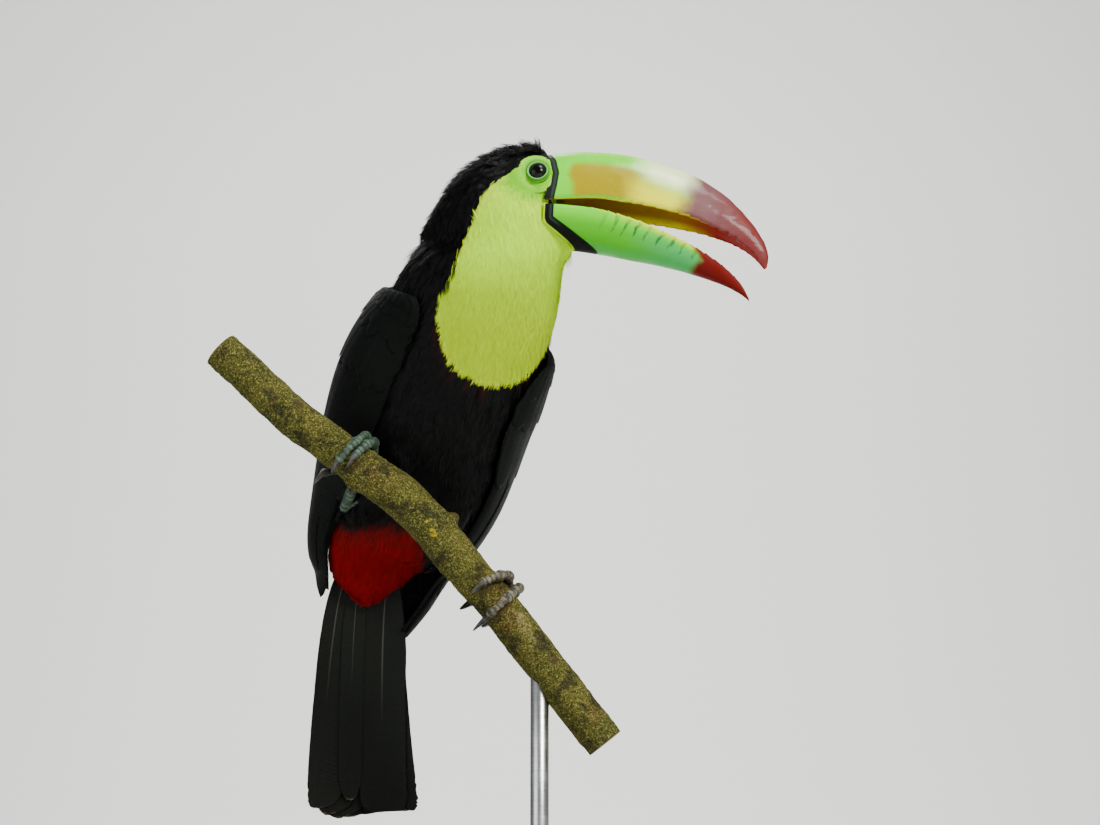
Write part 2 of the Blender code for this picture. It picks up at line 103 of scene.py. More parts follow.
def read_straight(table: Array, share: Array) -> Array:
    """Read a table of points at shares 0 to 1 of its first axis, with straight lines between."""
    place = np.clip(share, 0.0, 1.0) * (len(table) - 1)
    i = np.minimum(place.astype(int), len(table) - 2)
    u = (place - i)[..., None]
    return table[i] * (1 - u) + table[i + 1] * u


# ----------------------------------------------------------------------------------------- meshes

@dataclass
class Cast:
    """Points, faces and values at the points that grow into one mesh."""

    points: list[Array] = field(default_factory=list)
    faces: list[Array] = field(default_factory=list)
    values: dict[str, list[Array]] = field(default_factory=dict)
    patches: list[Array] = field(default_factory=list)
    count: int = 0

    def add(self, points: Array, faces: Array, patches: Array | None = None, **values: Array) -> None:
        """Add a body.

        Args:
            points: Its points, in any array whose last axis is 3 long.
            faces: Numbers of its own points, three or four to a face.
            patches: Places of its points on the map for baking.
            values: Named values at its points, one or three numbers each.
        """
        points = points.reshape(-1, 3)
        self.points.append(points)
        if faces.shape[1] == 4:
            faces = np.concatenate((faces[:, [0, 1, 2]], faces[:, [0, 2, 3]]))
        self.faces.append(faces + self.count)
        for name, value in values.items():
            self.values.setdefault(name, []).append(value.reshape(len(points), -1))
        if patches is not None:
            self.patches.append(patches.reshape(-1, 2))
        self.count += len(points)

    def build(self, name: str, finish: Material) -> bpy.types.Object:
        """Make the object, without faces that have no width.

        Args:
            name: The piece's name.
            finish: Its material.

        Returns:
            The new object, which rides on the still body.
        """
        points = np.concatenate(self.points).astype(np.float32)
        faces = np.concatenate(self.faces)
        a, b, c = (points[faces[:, k]] for k in range(3))
        area = np.linalg.norm(np.cross(b - a, c - a), axis=1)
        faces = faces[area > 1e-12]
        mesh = bpy.data.meshes.new(name)
        mesh.vertices.add(len(points))
        mesh.vertices.foreach_set("co", points.ravel())
        mesh.loops.add(faces.size)
        mesh.loops.foreach_set("vertex_index", faces.astype(np.int32).ravel())
        mesh.polygons.add(len(faces))
        mesh.polygons.foreach_set("loop_start", np.arange(0, faces.size, 3, dtype=np.int32))
        mesh.update(calc_edges=True)
        mesh.shade_smooth()
        if self.patches:
            layer = mesh.uv_layers.new(name="OFBake")
            places = np.concatenate(self.patches).astype(np.float32)
            layer.data.foreach_set("uv", places[faces.ravel()].ravel())
        for key, parts in self.values.items():
            value = np.concatenate(parts).astype(np.float32)
            kind = "FLOAT" if value.shape[1] == 1 else "FLOAT_VECTOR"
            slot = "value" if value.shape[1] == 1 else "vector"
            mesh.attributes.new(key, kind, "POINT").data.foreach_set(slot, value.ravel())
        mesh.materials.append(finish)
        return show(place_new(name, mesh))


def place_new(name: str, data: bpy.types.ID) -> bpy.types.Object:
    """Put a new object in the scene."""
    made = bpy.data.objects.new(name, data)
    bpy.context.scene.collection.objects.link(made)
    return made


def show(piece: bpy.types.Object) -> bpy.types.Object:
    """Let a piece ride on the still body, and log it."""
    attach(piece, "root")
    LOG.info("%s: %d triangles", piece.name, sum(len(p.vertices) - 2 for p in piece.data.polygons))
    return piece


def full_turn(count: int) -> Array:
    """Return evenly spaced angles round a circle, in radians."""
    return np.arange(count) * 2 * math.pi / count


def grid_faces(rows: int, columns: int, closed: bool) -> Array:
    """Return the quads of a grid of points.

    Args:
        rows: Number of rows.
        columns: Number of points in a row.
        closed: True where each row is a ring.

    Returns:
        Four point numbers for each quad.
    """
    across = columns if closed else columns - 1
    i, j = np.meshgrid(np.arange(rows - 1), np.arange(across), indexing="ij")
    i, j = i.ravel(), j.ravel()
    k = (j + 1) % columns
    return np.stack((i * columns + j, i * columns + k, (i + 1) * columns + k, (i + 1) * columns + j), 1)


def tube(rings: Array) -> tuple[Array, Array]:
    """Close a run of rings into one body.

    Args:
        rings: Points, as rings by points by 3.

    Returns:
        The body's points and its triangles, facing out where the rings turn left along the run.
    """
    rows, sides = rings.shape[:2]
    quads = grid_faces(rows, sides, True)
    ends = rings[[0, -1]].mean(axis=1)
    points = np.concatenate((rings.reshape(-1, 3), ends))
    i = np.arange(sides)
    j = (i + 1) % sides
    low = np.stack((j, i, np.full(sides, rows * sides)), 1)
    last = (rows - 1) * sides
    high = np.stack((i + last, j + last, np.full(sides, rows * sides + 1)), 1)
    return points, np.concatenate((quads[:, [0, 1, 2]], quads[:, [0, 2, 3]], low, high))


def path_frames(path: Array, hint: Array) -> tuple[Array, Array, Array]:
    """Return the directions along a path, and two square to it that don't twist.

    Args:
        path: The path's points.
        hint: A direction near which the first sideways direction lies.

    Returns:
        Directions along, sideways and upwards at each point.
    """
    along = unit(np.gradient(path, axis=0))
    side = unit(hint - along * dot(along, hint))
    for i in range(1, len(side)):
        side[i] = unit(side[i - 1] - along[i] * float(side[i - 1] @ along[i]))
    return along, side, np.cross(along, side)


def noise_at(points: Array, scale: float, octaves: int = 3) -> Array:
    """Return smooth noise of about -1 to 1 at points.

    Args:
        points: The points, with 3 as the last axis.
        scale: Size of the noise's largest features.
        octaves: How many ever finer layers are added up.

    Returns:
        One value for each point.
    """
    flat = points.reshape(-1, 3) / scale
    found = [noise.fractal(Vector(p), 0.9, 2.1, octaves) for p in flat]
    return np.array(found).reshape(points.shape[:-1])


# ----------------------------------------------------------------------------------- the bird's form

@dataclass
class Head:
    """The head's own frame: along the bill, up from the gape and out to the bird's right."""

    gape: Array = field(default_factory=lambda: np.array([51.0, -60.0, 338.4]) * MM)
    turn: float = math.radians(84)         # from facing -Y, towards +X
    roll: float = math.radians(6.5)        # crown away from -Y
    eye: Triple = (-5.2, 11.4, 16.0)   # reach, height and out, in mm
    eye_radius: float = 5.6 * MM
    # Where feathers end and horn begins, from the brow to the chin: (reach, height) in mm
    bill_base: Table = (
        (-6, 60), (-3.6, 28), (0.4, 20), (2.2, 12), (1.4, 5), (0, -1.5), (-0.8, -12.6), (5.0, -16.6),
        (11.4, -20.6), (12.6, -23), (13, -30))
    # Where the black band round the bill's base ends, likewise
    band_front: Table = (
        (-3, 60), (-1.2, 27), (3.0, 20), (4.9, 12), (4.0, 5), (2.7, -1.5), (2.2, -10.4), (13.6, -18.4),
        (22.8, -24.2), (29, -30))

    def __post_init__(self) -> None:
        """Work out the frame's directions."""
        self.forward = np.array([math.sin(self.turn), -math.cos(self.turn), 0.0])
        level_right = np.cross(self.forward, [0.0, 0.0, 1.0])
        self.up = np.array([0, 0, math.cos(self.roll)]) - level_right * math.sin(self.roll)
        self.right = np.cross(self.forward, self.up)

    def point(self, reach: Array, height: Array, out: Array) -> Array:
        """Return points from their places in the head's frame, in mm."""
        reach, height, out = np.broadcast_arrays(reach, height, out)
        return self.gape + (reach[..., None] * self.forward + height[..., None] * self.up
                            + out[..., None] * self.right) * MM

    def read(self, points: Array) -> tuple[Array, Array, Array]:
        """Return points' reach, height and out, in mm."""
        offset = (points - self.gape) / MM
        return offset @ self.forward, offset @ self.up, offset @ self.right

    def base_reach(self, height: Array) -> Array:
        """Return how far forward the feathers reach at heights, in mm."""
        line = np.array(self.bill_base[::-1], float)
        return np.interp(height, line[:, 1], line[:, 0])

    def past_band(self, reach: Array, height: Array) -> Array:
        """Return how far in front of the black band's front edge places lie, in mm."""
        line = np.array(self.band_front[::-1], float)
        place = np.stack((reach, height), -1)[..., None, :]
        start, along = line[:-1], np.diff(line, axis=0)
        share = np.clip(((place - start) * along).sum(axis=-1) / (along**2).sum(axis=-1), 0, 1)
        gap = np.linalg.norm(place - start - along * share[..., None], axis=-1).min(axis=-1)
        return gap * np.sign(reach - np.interp(height, line[:, 1], line[:, 0]))

    def eye_centre(self, side: int) -> Array:
        """Return an eye's centre: side +1 for the right eye, -1 for the left."""
        return self.point(self.eye[0], self.eye[1], self.eye[2] * side)


@dataclass
class Body:
    """The body as a run of oval sections, from below the rump (level 0) to the crown (level 12)."""

    # x, y, z, half width, front and back reach (mm), and where the front faces (degrees)
    stations: Table = (
        (-48, 53, 144, 20.5, 12, 16, 8), (-40.5, 47, 165, 29, 17, 20, 9),
        (-34.5, 37, 186, 37, 24, 24, 11), (-20.5, 21, 218, 45, 33, 31, 16),
        (-7, -2, 256, 46.5, 40, 36, 19), (9.5, -25, 288, 43.5, 38, 35, 24),
        (20.5, -40, 310, 39.5, 35, 36, 40), (24.5, -50, 327, 27.5, 38, 41.5, 72),
        (23, -56, 340.5, 21.5, 44, 29, 84), (27.5, -58, 352.5, 20.5, 44, 24.5, 84),
        (32, -58, 361.5, 15.5, 34, 17.5, 84), (35, -57, 367.2, 8.5, 20, 10.5, 84),
        (36, -57, 369.4, 2.0, 5, 3, 84))
    head_up: Triple = (0.0, math.sin(math.radians(6.5)), math.cos(math.radians(6.5)))
    neck_level: float = 6.0
    cheek_level: float = 8.0
    lowest: float = 2.02           # where the trunk ends over the tail
    fineness: int = 100            # sections worked out for each level

    def __post_init__(self) -> None:
        """Work out the middle, directions and reaches of closely spaced sections."""
        top = len(self.stations) - 1
        level = np.linspace(0, top, top * self.fineness + 1)
        table = np.array(self.stations, float)
        row = read_along(table, level)
        spine = unit(read_along(table, level + 0.02)[:, :3] - read_along(table, level - 0.02)[:, :3])
        share = np.clip((level - self.neck_level) / (self.cheek_level - self.neck_level), 0, 1)[:, None]
        axis = unit(spine * (1 - share) + np.array(self.head_up) * share)
        facing = np.radians(row[:, 6])
        ahead = np.stack((np.sin(facing), -np.cos(facing), np.zeros_like(facing)), 1)
        front = unit(ahead - axis * dot(ahead, axis))
        self.table = np.concatenate((row[:, :3] * MM, front, np.cross(axis, front), row[:, 3:6] * MM,
                                     axis), 1)

    def sections(self, level: Array) -> tuple[Array, Array, Array, Array, Array]:
        """Return sections' middles, front and left directions, reaches and axes."""
        read = read_straight(self.table, np.asarray(level) / (len(self.stations) - 1))
        return read[..., :3], read[..., 3:6], read[..., 6:9], read[..., 9:12], read[..., 12:]

    def point(self, level: Array, degrees: Array, lift: Array = 0.0) -> Array:
        """Return points on the body.

        Args:
            level: Places along the spine.
            degrees: Angles from the middle of the front, towards the bird's left.
            lift: Height off the surface.

        Returns:
            The points, with 3 as the last axis.
        """
        level, degrees, lift = np.broadcast_arrays(level, degrees, lift)
        middle, front, left, reach, _ = self.sections(level)
        turn = np.radians(degrees)
        forward = np.where(np.cos(turn) > 0, reach[..., 1], reach[..., 2]) * np.cos(turn)
        offset = left * (reach[..., 0] * np.sin(turn))[..., None] + front * forward[..., None]
        return middle + offset + unit(offset) * lift[..., None]

    def locate(self, points: Array) -> tuple[Array, Array]:
        """Return the levels and degrees of points near the surface."""
        every = self.table[::4]
        level, degrees = [], []
        for chunk in np.array_split(points, max(len(points) // 4000, 1)):
            offset = chunk[:, None, :] - every[None, :, :3]
            off_plane = (offset * every[None, :, 12:]).sum(axis=2)
            far = (offset**2).sum(axis=2)
            best = (off_plane**2 + 0.02 * far).argmin(axis=1)
            level.append(best * 4 / self.fineness)
            row = every[best]
            offset = chunk - row[:, :3]
            ahead, aside = dot(offset, row[:, 3:6])[:, 0], dot(offset, row[:, 6:9])[:, 0]
            reach = np.where(ahead > 0, row[:, 10], row[:, 11])
            degrees.append(np.degrees(np.arctan2(aside / row[:, 9], ahead / reach)))
        return np.concatenate(level), np.concatenate(degrees)


@dataclass
class TailForm:
    """The tail's cambered middle surface, which its feathers and coverts lie on."""

    # The middle line down the tail, in mm
    spine: Table = (
        (-35.0, 37.6, 185.6), (-41.5, 43.5, 172.0), (-44.5, 47.5, 156.0), (-46.0, 51.0, 130.0),
        (-46.5, 54.0, 100.0), (-46.5, 56.5, 72.0), (-46.0, 58.0, 56.0), (-46.0, 58.5, 49.5),
        (-45.5, 58.7, 47.0))
    facing: float = math.radians(7)
    camber: float = 2.2 * MM           # the bend towards the belly,
    camber_reach: float = 20 * MM      # this far from the middle

    def point(self, place: Array, sideways: Array, lift: Array) -> Array:
        """Return points off the middle surface.

        Args:
            place: Places down the spine.
            sideways: Distances from the spine, towards the bird's left.
            lift: Distances behind the surface.

        Returns:
            The points, with 3 as the last axis.
        """
        place, sideways, lift = np.broadcast_arrays(place, sideways, lift)
        line = np.array(self.spine, float)
        spine = read_along(line * MM, place)
        forward = np.array([math.sin(self.facing), -math.cos(self.facing), 0.0])
        axis = unit(read_along(line, place - 0.1) - read_along(line, place + 0.1))
        behind = unit(axis * dot(axis, forward) - forward)
        across = unit(np.cross(axis, np.broadcast_to(forward, axis.shape)))
        depth = lift - self.camber * (sideways / self.camber_reach) ** 2
        return spine + across * sideways[..., None] + behind * depth[..., None]


@dataclass
class Markings:
    """Where the plumage is black, yellow, red, white or bare, for skin and feathers alike."""

    body: Body
    head: Head
    # The yellow bib: level, middle (degrees to the bird's left) and half width (degrees)
    bib: Table = (
        (4.69, 14, 0), (4.75, 13, 20), (4.85, 14, 34), (5.08, 16, 50), (5.35, 13, 59),
        (5.90, 8, 74), (6.20, 5, 83), (6.60, 3, 97), (6.90, 1, 100), (7.40, 0, 101),
        (7.85, 0, 97), (8.30, 0, 89), (8.75, 0, 80), (9.00, 0, 76), (9.25, 0, 70),
        (9.45, 0, 58), (9.62, 0, 30), (9.70, 0, 0))
    vent_height: float = 190 * MM      # red and white begin below this
    vent_slope: float = 0.10           # and lower towards +X by this much
    bare_reach: float = 10.5 * MM      # half width of the bare skin round the eye,
    bare_height: float = 9.0 * MM      # and half its height

    def bib_depth(self, level: Array, degrees: Array) -> Array:
        """Return how far inside the bib points lie, in about mm, negative outside it."""
        table = np.array(self.bib)
        middle = np.interp(level, table[:, 0], table[:, 1])
        half = np.interp(level, table[:, 0], table[:, 2], left=0, right=0)
        girth = self.body.sections(level)[3][..., 0] / MM
        across = (half - np.abs((degrees - middle + 180) % 360 - 180)) * math.pi / 180 * girth
        low = (level - table[0, 0]) * 32
        return np.minimum(across, low)

    def eye_distance(self, points: Array) -> Array:
        """Return points' distance from the nearer eye's middle, 1 at the edge of the bare skin."""
        reach, height, _ = self.head.read(points)
        return np.hypot((reach - self.head.eye[0] + 1.5) * MM / self.bare_reach,
                        (height - self.head.eye[1]) * MM / self.bare_height)

    def read(self, points: Array, wander: float = 0.0) -> dict[str, Array]:
        """Return the markings at points.

        Args:
            points: Places on the skin.
            wander: How far the borders wander, in mm.

        Returns:
            marks (bib, red, white), and bare (1 on the skin round the eye).
        """
        level, degrees = self.body.locate(points)
        drift = noise_at(points, 4 * MM, 2) * wander
        depth = self.bib_depth(level, degrees) + drift
        # The bib's mark stays under 1 at its fringe, which the plumage colour paints paler: painted light
        # shining through the thin barbs
        bib = ease(-0.4, 0.4, depth) * (0.75 + 0.25 * ease(0.0, 3.0, depth))
        reach, height, _ = self.head.read(points)
        bib = bib * ease(1.3, 2.2, np.hypot(reach + 0.5, height))
        beside = np.interp(points[:, 2] / MM, [150, 162, 180], [-28, -17, -13.5]) - points[:, 0] / MM
        below = self.vent_height - points[:, 2] - self.vent_slope * (points[:, 0] + 40 * MM)
        low = ease(-1.5, 2.5, beside) * ease(-1.0, 6.5, below / MM + drift)
        spine = np.interp(points[:, 2], [0.130, 0.156, 0.172, 0.1856, 0.200],
                          [0.0560, 0.0510, 0.0450, 0.0376, 0.030])
        behind = ease(4.6, 6.0, (points[:, 1] - spine) / MM)
        bare = ease(2.1, 0.9, self.eye_distance(points)) * ease(7.2, 7.9, level)
        collar = 0.07 * ease(-3.2, -1.2, depth) * ease(0.4, -0.4, depth) * ease(5.5, 5.1, level)
        red = np.maximum(low * (1 - behind), collar)
        return {"marks": np.stack((bib, red, low * behind), 1), "bare": bare}


@dataclass
class Skin:
    """One skin under all the feathers, from the tail's coverts to the bill."""

    body: Body
    head: Head
    markings: Markings
    sides: int = 112
    rows: int = 240
    voxel: float = 1.25 * MM
    smoothing: int = 6             # passes,
    smoothness: float = 0.6        # and how much each does
    lid_depth: float = 1.6 * MM    # how much deeper the skin lies under the lids
    # How far the skin lies inside the tips of the coat, by level (mm)
    depths: Table = ((2.0, 2.6), (5.0, 2.4), (6.5, 1.9), (8.0, 1.2), (12.0, 1.3))
    chin: float = 6.6 * MM         # how far the chin stands forward
    soft_nodes: tuple[str, ...] = ("thigh_left", "thigh_right", "coverts_under", "coverts_upper")
    under_nodes: tuple[str, ...] = ("trunk", "neck", "head")

    def build(self, finish: Material) -> bpy.types.Object:
        """Make the skin and keep it to hang feathers on.

        Args:
            finish: The plumage's material.

        Returns:
            The skin.
        """
        level = np.linspace(self.body.lowest, len(self.body.stations) - 1.0, self.rows)
        degrees = np.arange(self.sides) * 360 / self.sides
        rings = self.body.point(level[:, None], degrees[None, :])
        whole = bmesh.new()
        points, faces = tube(rings)
        verts = [whole.verts.new(p) for p in points]
        for face in faces:
            whole.faces.new([verts[i] for i in face])
        for node in self.soft_nodes:
            whole.from_mesh(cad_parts[node].data)
        mesh = bpy.data.meshes.new("skin_rough")
        whole.to_mesh(mesh)
        whole.free()
        rough = place_new("skin_rough", mesh)
        remesh = rough.modifiers.new("one_body", "REMESH")
        remesh.mode, remesh.voxel_size = "VOXEL", self.voxel
        soften = rough.modifiers.new("soften", "SMOOTH")
        soften.factor, soften.iterations = self.smoothness, self.smoothing
        settled = rough.evaluated_get(bpy.context.evaluated_depsgraph_get()).to_mesh()
        points = np.zeros(len(settled.vertices) * 3, np.float32)
        normals = np.zeros_like(points)
        settled.vertices.foreach_get("co", points)
        settled.vertex_normals.foreach_get("vector", normals)
        faces = np.array([p.vertices[:] for p in settled.polygons])
        bpy.data.objects.remove(rough)
        points, normals = points.reshape(-1, 3).astype(float), normals.reshape(-1, 3)
        level, _ = self.body.locate(points)
        depth = np.interp(level, *np.array(self.depths).T) * MM
        bare = ease(1.15, 0.9, self.markings.eye_distance(points)) * ease(7.6, 7.9, level)
        depth = depth * (1 - bare) + 0.4 * MM * bare
        depth += self.lid_depth * ease(8.5, 6.0, self.eye_gap(points) / MM)
        points = points - normals * depth[:, None]
        reach, height, out = self.head.read(points)
        chin = ease(1.0, 7.0, reach) * np.exp(-((height + 22.5) / 4.0) ** 2 - (out / 11) ** 2)
        points = self.stop_at_bill(points + self.head.forward * (self.chin * chin)[:, None])
        marks = self.markings.read(points, 0.4)
        cast = Cast()
        blank = np.zeros((len(points), 3))
        blank[:, 0] = 0.5
        level, degrees = self.body.locate(points)
        cast.add(points, faces, patches=self.unwrap(level, degrees), strand=blank, **marks)
        piece = cast.build("skin", finish)
        self.tree = BVHTree.FromPolygons(points.tolist(), faces.tolist())
        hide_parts(*self.under_nodes, *self.soft_nodes)
        return piece or piece

    def eye_gap(self, points: Array) -> Array:
        """Return points' distance from the line through both eyes."""
        reach, height, _ = self.head.read(points)
        return np.hypot(reach - self.head.eye[0], height - self.head.eye[1]) * MM

    def stop_at_bill(self, points: Array) -> Array:
        """Return points drawn back behind the line where horn begins."""
        reach, height, out = self.head.read(points)
        limit = self.head.base_reach(height) - 0.4
        over = (reach > limit) & (height > self.head.bill_base[-1][1])
        return np.where(over[:, None], self.head.point(np.minimum(reach, limit), height, out), points)

    @staticmethod
    def unwrap(level: Array, degrees: Array) -> Array:
        """Return places on the map for baking: round the body and along its spine."""
        return np.stack((0.02 + 0.96 * ((degrees / 360 + 0.5) % 1.0), 0.02 + 0.96 * level / 12), 1)

    def nearest(self, points: Array) -> tuple[Array, Array]:
        """Return the nearest points on the skin, and the normals there."""
        found = [self.tree.find_nearest(p) for p in points.tolist()]
        return np.array([f[0] for f in found]), np.array([f[1] for f in found])


@dataclass(frozen=True)
class Tuft:
    """A kind of small feather: a fan of barbs that leaves the skin and lies back along it."""

    length: float
    half_width: float
    barbs: int
    barb_width: float
    rise: float                # how steeply it leaves the skin, as a slope
    ruffle: float              # how much its slope and its heading vary
    rootward: float = 0.3      # how narrow the fan is at its root


class Coat:
    """Small feathers on the skin."""

    STATIONS = np.array([0.0, 0.42, 0.76, 1.0])        # along a barb, as shares of its length
    TAPER = np.array([1.0, 1.0, 0.75, 0.12])           # its width there
    SUNK = 0.15 * MM                                   # how deep its root is in the skin

    def __init__(self, skin: Skin, seed: int) -> None:
        """Keep the skin, its body and its head."""
        self.skin, self.body, self.head = skin, skin.body, skin.head
        self.rng = np.random.default_rng(seed)

    def scatter(self, spacing: float, seed: int) -> Array:
        """Return points on the skin that keep their distance.

        Args:
            spacing: Least distance between two points.
            seed: Number that sets the pattern.

        Returns:
            The points.
        """
        tree = bpy.data.node_groups.new("scatter", "GeometryNodeTree")
        tree.interface.new_socket("Geometry", in_out="INPUT", socket_type="NodeSocketGeometry")
        tree.interface.new_socket("Geometry", in_out="OUTPUT", socket_type="NodeSocketGeometry")
        start, end = tree.nodes.new("NodeGroupInput"), tree.nodes.new("NodeGroupOutput")
        spread = tree.nodes.new("GeometryNodeDistributePointsOnFaces")
        spread.distribute_method = "POISSON"
        spread.inputs["Distance Min"].default_value = spacing
        spread.inputs["Density Max"].default_value = 2.0 / spacing**2
        spread.inputs["Seed"].default_value = seed
        to_points = tree.nodes.new("GeometryNodePointsToVertices")
        tree.links.new(start.outputs[0], spread.inputs["Mesh"])
        tree.links.new(spread.outputs["Points"], to_points.inputs[0])
        tree.links.new(to_points.outputs[0], end.inputs[0])
        guide = place_new("scatter_guide", bpy.data.objects["skin"].data)
        guide.modifiers.new("scatter", "NODES").node_group = tree
        found = guide.evaluated_get(bpy.context.evaluated_depsgraph_get()).to_mesh()
        points = np.zeros(len(found.vertices) * 3, np.float32)
        found.vertices.foreach_get("co", points)
        bpy.data.objects.remove(guide)
        return points.reshape(-1, 3).astype(float)

    def lie(self, level: Array) -> Array:
        """Return the way the feathers lie: down the body, and back over the head."""
        axis, back = self.body.sections(level)[4], -self.head.forward - self.head.up * 0.45
        on_head, chin = ease(7.2, 9.2, level)[:, None], ease(7.8, 6.9, level)[:, None]
        return unit(-axis * (1 - on_head * (1 - chin)) + back * on_head * (1 - chin))

    def follow(self, roots: Array, heading: Array, length: Array) -> tuple[Array, Array]:
        """Return paths along the skin.

        Args:
            roots: Where they start.
            heading: Which way they start.
            length: How long they are.

        Returns:
            Points and normals, as paths by steps by 3.
        """
        place, normal = self.skin.nearest(roots)
        path, normals = [place], [normal]
        heading = unit(heading - normal * dot(heading, normal))
        for share in np.diff(self.STATIONS):
            place, normal = self.skin.nearest(path[-1] + heading * (length * share)[:, None])
            step = place - path[-1]
            heading = unit(step - normal * dot(step, normal))
            path.append(place)
            normals.append(normal)
        return np.stack(path, 1), np.stack(normals, 1)

    def grow(self, name: str, roots: Array, tuft: Tuft, finish: Material,
             ruffled: Array | None = None, blended: bool = False) -> None:
        """Grow one piece of the coat.

        Args:
            name: The piece's name.
            roots: Where its feathers are rooted.
            tuft: Their kind.
            finish: Their material.
            ruffled: How much more than usual each stands up.
            blended: Whether a barb's colour changes along it, or stays as at its root.
        """
        rng, count = self.rng, len(roots)
        level, degrees = self.body.locate(roots)
        heading = self.lie(level)
        sway = rng.normal(0, tuft.ruffle, (count, 1))
        _, normal = self.skin.nearest(roots)
        heading = unit(heading + np.cross(normal, heading) * sway)
        length = tuft.length * rng.uniform(0.8, 1.15, count)
        path, normals = self.follow(roots, heading, length)
        side = unit(np.cross(normals, np.gradient(path, axis=1)))
        steep = tuft.rise * rng.uniform(1 - tuft.ruffle, 1 + tuft.ruffle, count)
        if ruffled is not None:
            steep = steep * ruffled
            length = length / np.sqrt(1 + 0.35 * (ruffled - 1) ** 2)
        stations, barbs = self.STATIONS, tuft.barbs
        fan = np.linspace(-1, 1, barbs) + rng.normal(0, 0.35 / barbs, (count, barbs))
        reach = rng.uniform(0.82, 1.0, (count, barbs)) * (1 - 0.22 * fan**2)
        t = stations[None, None, :] * reach[:, :, None]                      # tufts, barbs, stations
        at = np.clip(np.interp(t, stations, np.arange(4)), 0, 2.999)
        low = at.astype(int)
        rest = (at - low)[..., None]
        pick = np.arange(count)[:, None, None]
        middle = path[pick, low] * (1 - rest) + path[pick, low + 1] * rest
        across = side[pick, low] * (1 - rest) + side[pick, low + 1] * rest
        upward = normals[pick, low] * (1 - rest) + normals[pick, low + 1] * rest
        spread = tuft.rootward + (1 - tuft.rootward) * np.sin(t * math.pi / 2)
        aside = fan[:, :, None] * spread * tuft.half_width
        height = (steep * length)[:, None, None] * (t - 0.5 * t * t) - self.SUNK
        height = height + rng.normal(0, 0.12 * tuft.rise * tuft.length, (count, barbs, 1)) * t
        height = height * (1 - 0.3 * fan[:, :, None] ** 2)
        centre = middle + across * aside[..., None] + upward * height[..., None]
        tilt = rng.uniform(-0.5, 0.5, (count, barbs, 1, 1))
        edge = (across + upward * tilt) * (tuft.barb_width / 2 * self.TAPER)[:, None]
        points = np.stack((centre - edge, centre + edge), 3)                 # ..., stations, 2, 3
        strand = np.empty(points.shape)
        strand[..., 0] = rng.random((count, 1, 1, 1))
        strand[..., 1] = stations[None, None, :, None]
        strand[..., 2] = rng.random((count, barbs, 1, 1))
        shape = points.shape[:-1]
        marks, bare = np.zeros((*shape, 3)), np.zeros(shape)
        for station, share in ((0, 1 - stations), (3, stations)) if blended else ((1, np.ones(4)),):
            spots = centre[:, :, station] + rng.normal(0, 0.3 * MM, (count, barbs, 3))
            found = self.skin.markings.read(spots.reshape(-1, 3), 0.3)
            bib = found["marks"][:, 0]
            found["marks"][:, 0] = np.where(bib > 0.38, np.maximum(bib, 0.75), 0.0) * (not blended)
            marks += found["marks"].reshape(count, barbs, 1, 1, 3) * share[:, None, None]
            bare += found["bare"].reshape(count, barbs, 1, 1) * share[:, None]
        local = np.empty((*shape, 2))
        local[..., 0], local[..., 1] = (fan[:, :, None, None] + 1) / 2, stations[:, None]
        root_place = self.skin.unwrap(level, degrees)[:, None, None, None, :]
        faces = grid_faces(len(stations), 2, False)
        faces = faces[None] + np.arange(count * barbs)[:, None, None] * len(stations) * 2
        cast = Cast()
        cast.add(points, faces.reshape(-1, 4), patches=root_place + (local - 0.5) * PATCH, strand=strand,
                 marks=marks, bare=bare)
        cast.build(name, finish)


# --------------------------------------------------------------------------------------- finishes

@dataclass(frozen=True, eq=False)
class Value:
    """An output of a node. Plain signs and abs() calculate with it, and add a node each."""

    graph: "Graph"
    socket: bpy.types.NodeSocket

    def math(self, operation: str, other: "Value | float" = 0.0) -> "Value":
        """Return the result of a calculation with another value."""
        return self.graph.value("Math", {0: self, 1: other}, operation=operation)

    def __add__(self, other: "Value | float") -> "Value":
        """Return the sum."""
        return self.math("ADD", other)

    def __sub__(self, other: "Value | float") -> "Value":
        """Return the difference."""
        return self.math("SUBTRACT", other)

    def __rsub__(self, other: float) -> "Value":
        """Return a number less this value."""
        return self.graph.value("Math", {0: other, 1: self}, operation="SUBTRACT")

    def __mul__(self, other: "Value | float") -> "Value":
        """Return the product."""
        return self.math("MULTIPLY", other)

    def __abs__(self) -> "Value":
        """Return the value without its sign."""
        return self.math("ABSOLUTE")

    def between(self, low: float, high: float) -> "Value":
        """Return 0 to 1 as this goes smoothly from low to high."""
        limits = {0: self, 1: low, 2: high, 3: 0.0, 4: 1.0}
        return self.graph.value("MapRange", limits, interpolation_type="SMOOTHSTEP")

    def split(self) -> list["Value"]:
        """Return a vector's three numbers."""
        return [Value(self.graph, s) for s in self.graph.add("SeparateXYZ", {0: self}).outputs]


Inputs = dict[str | int, object]
Tint = Value | Colour


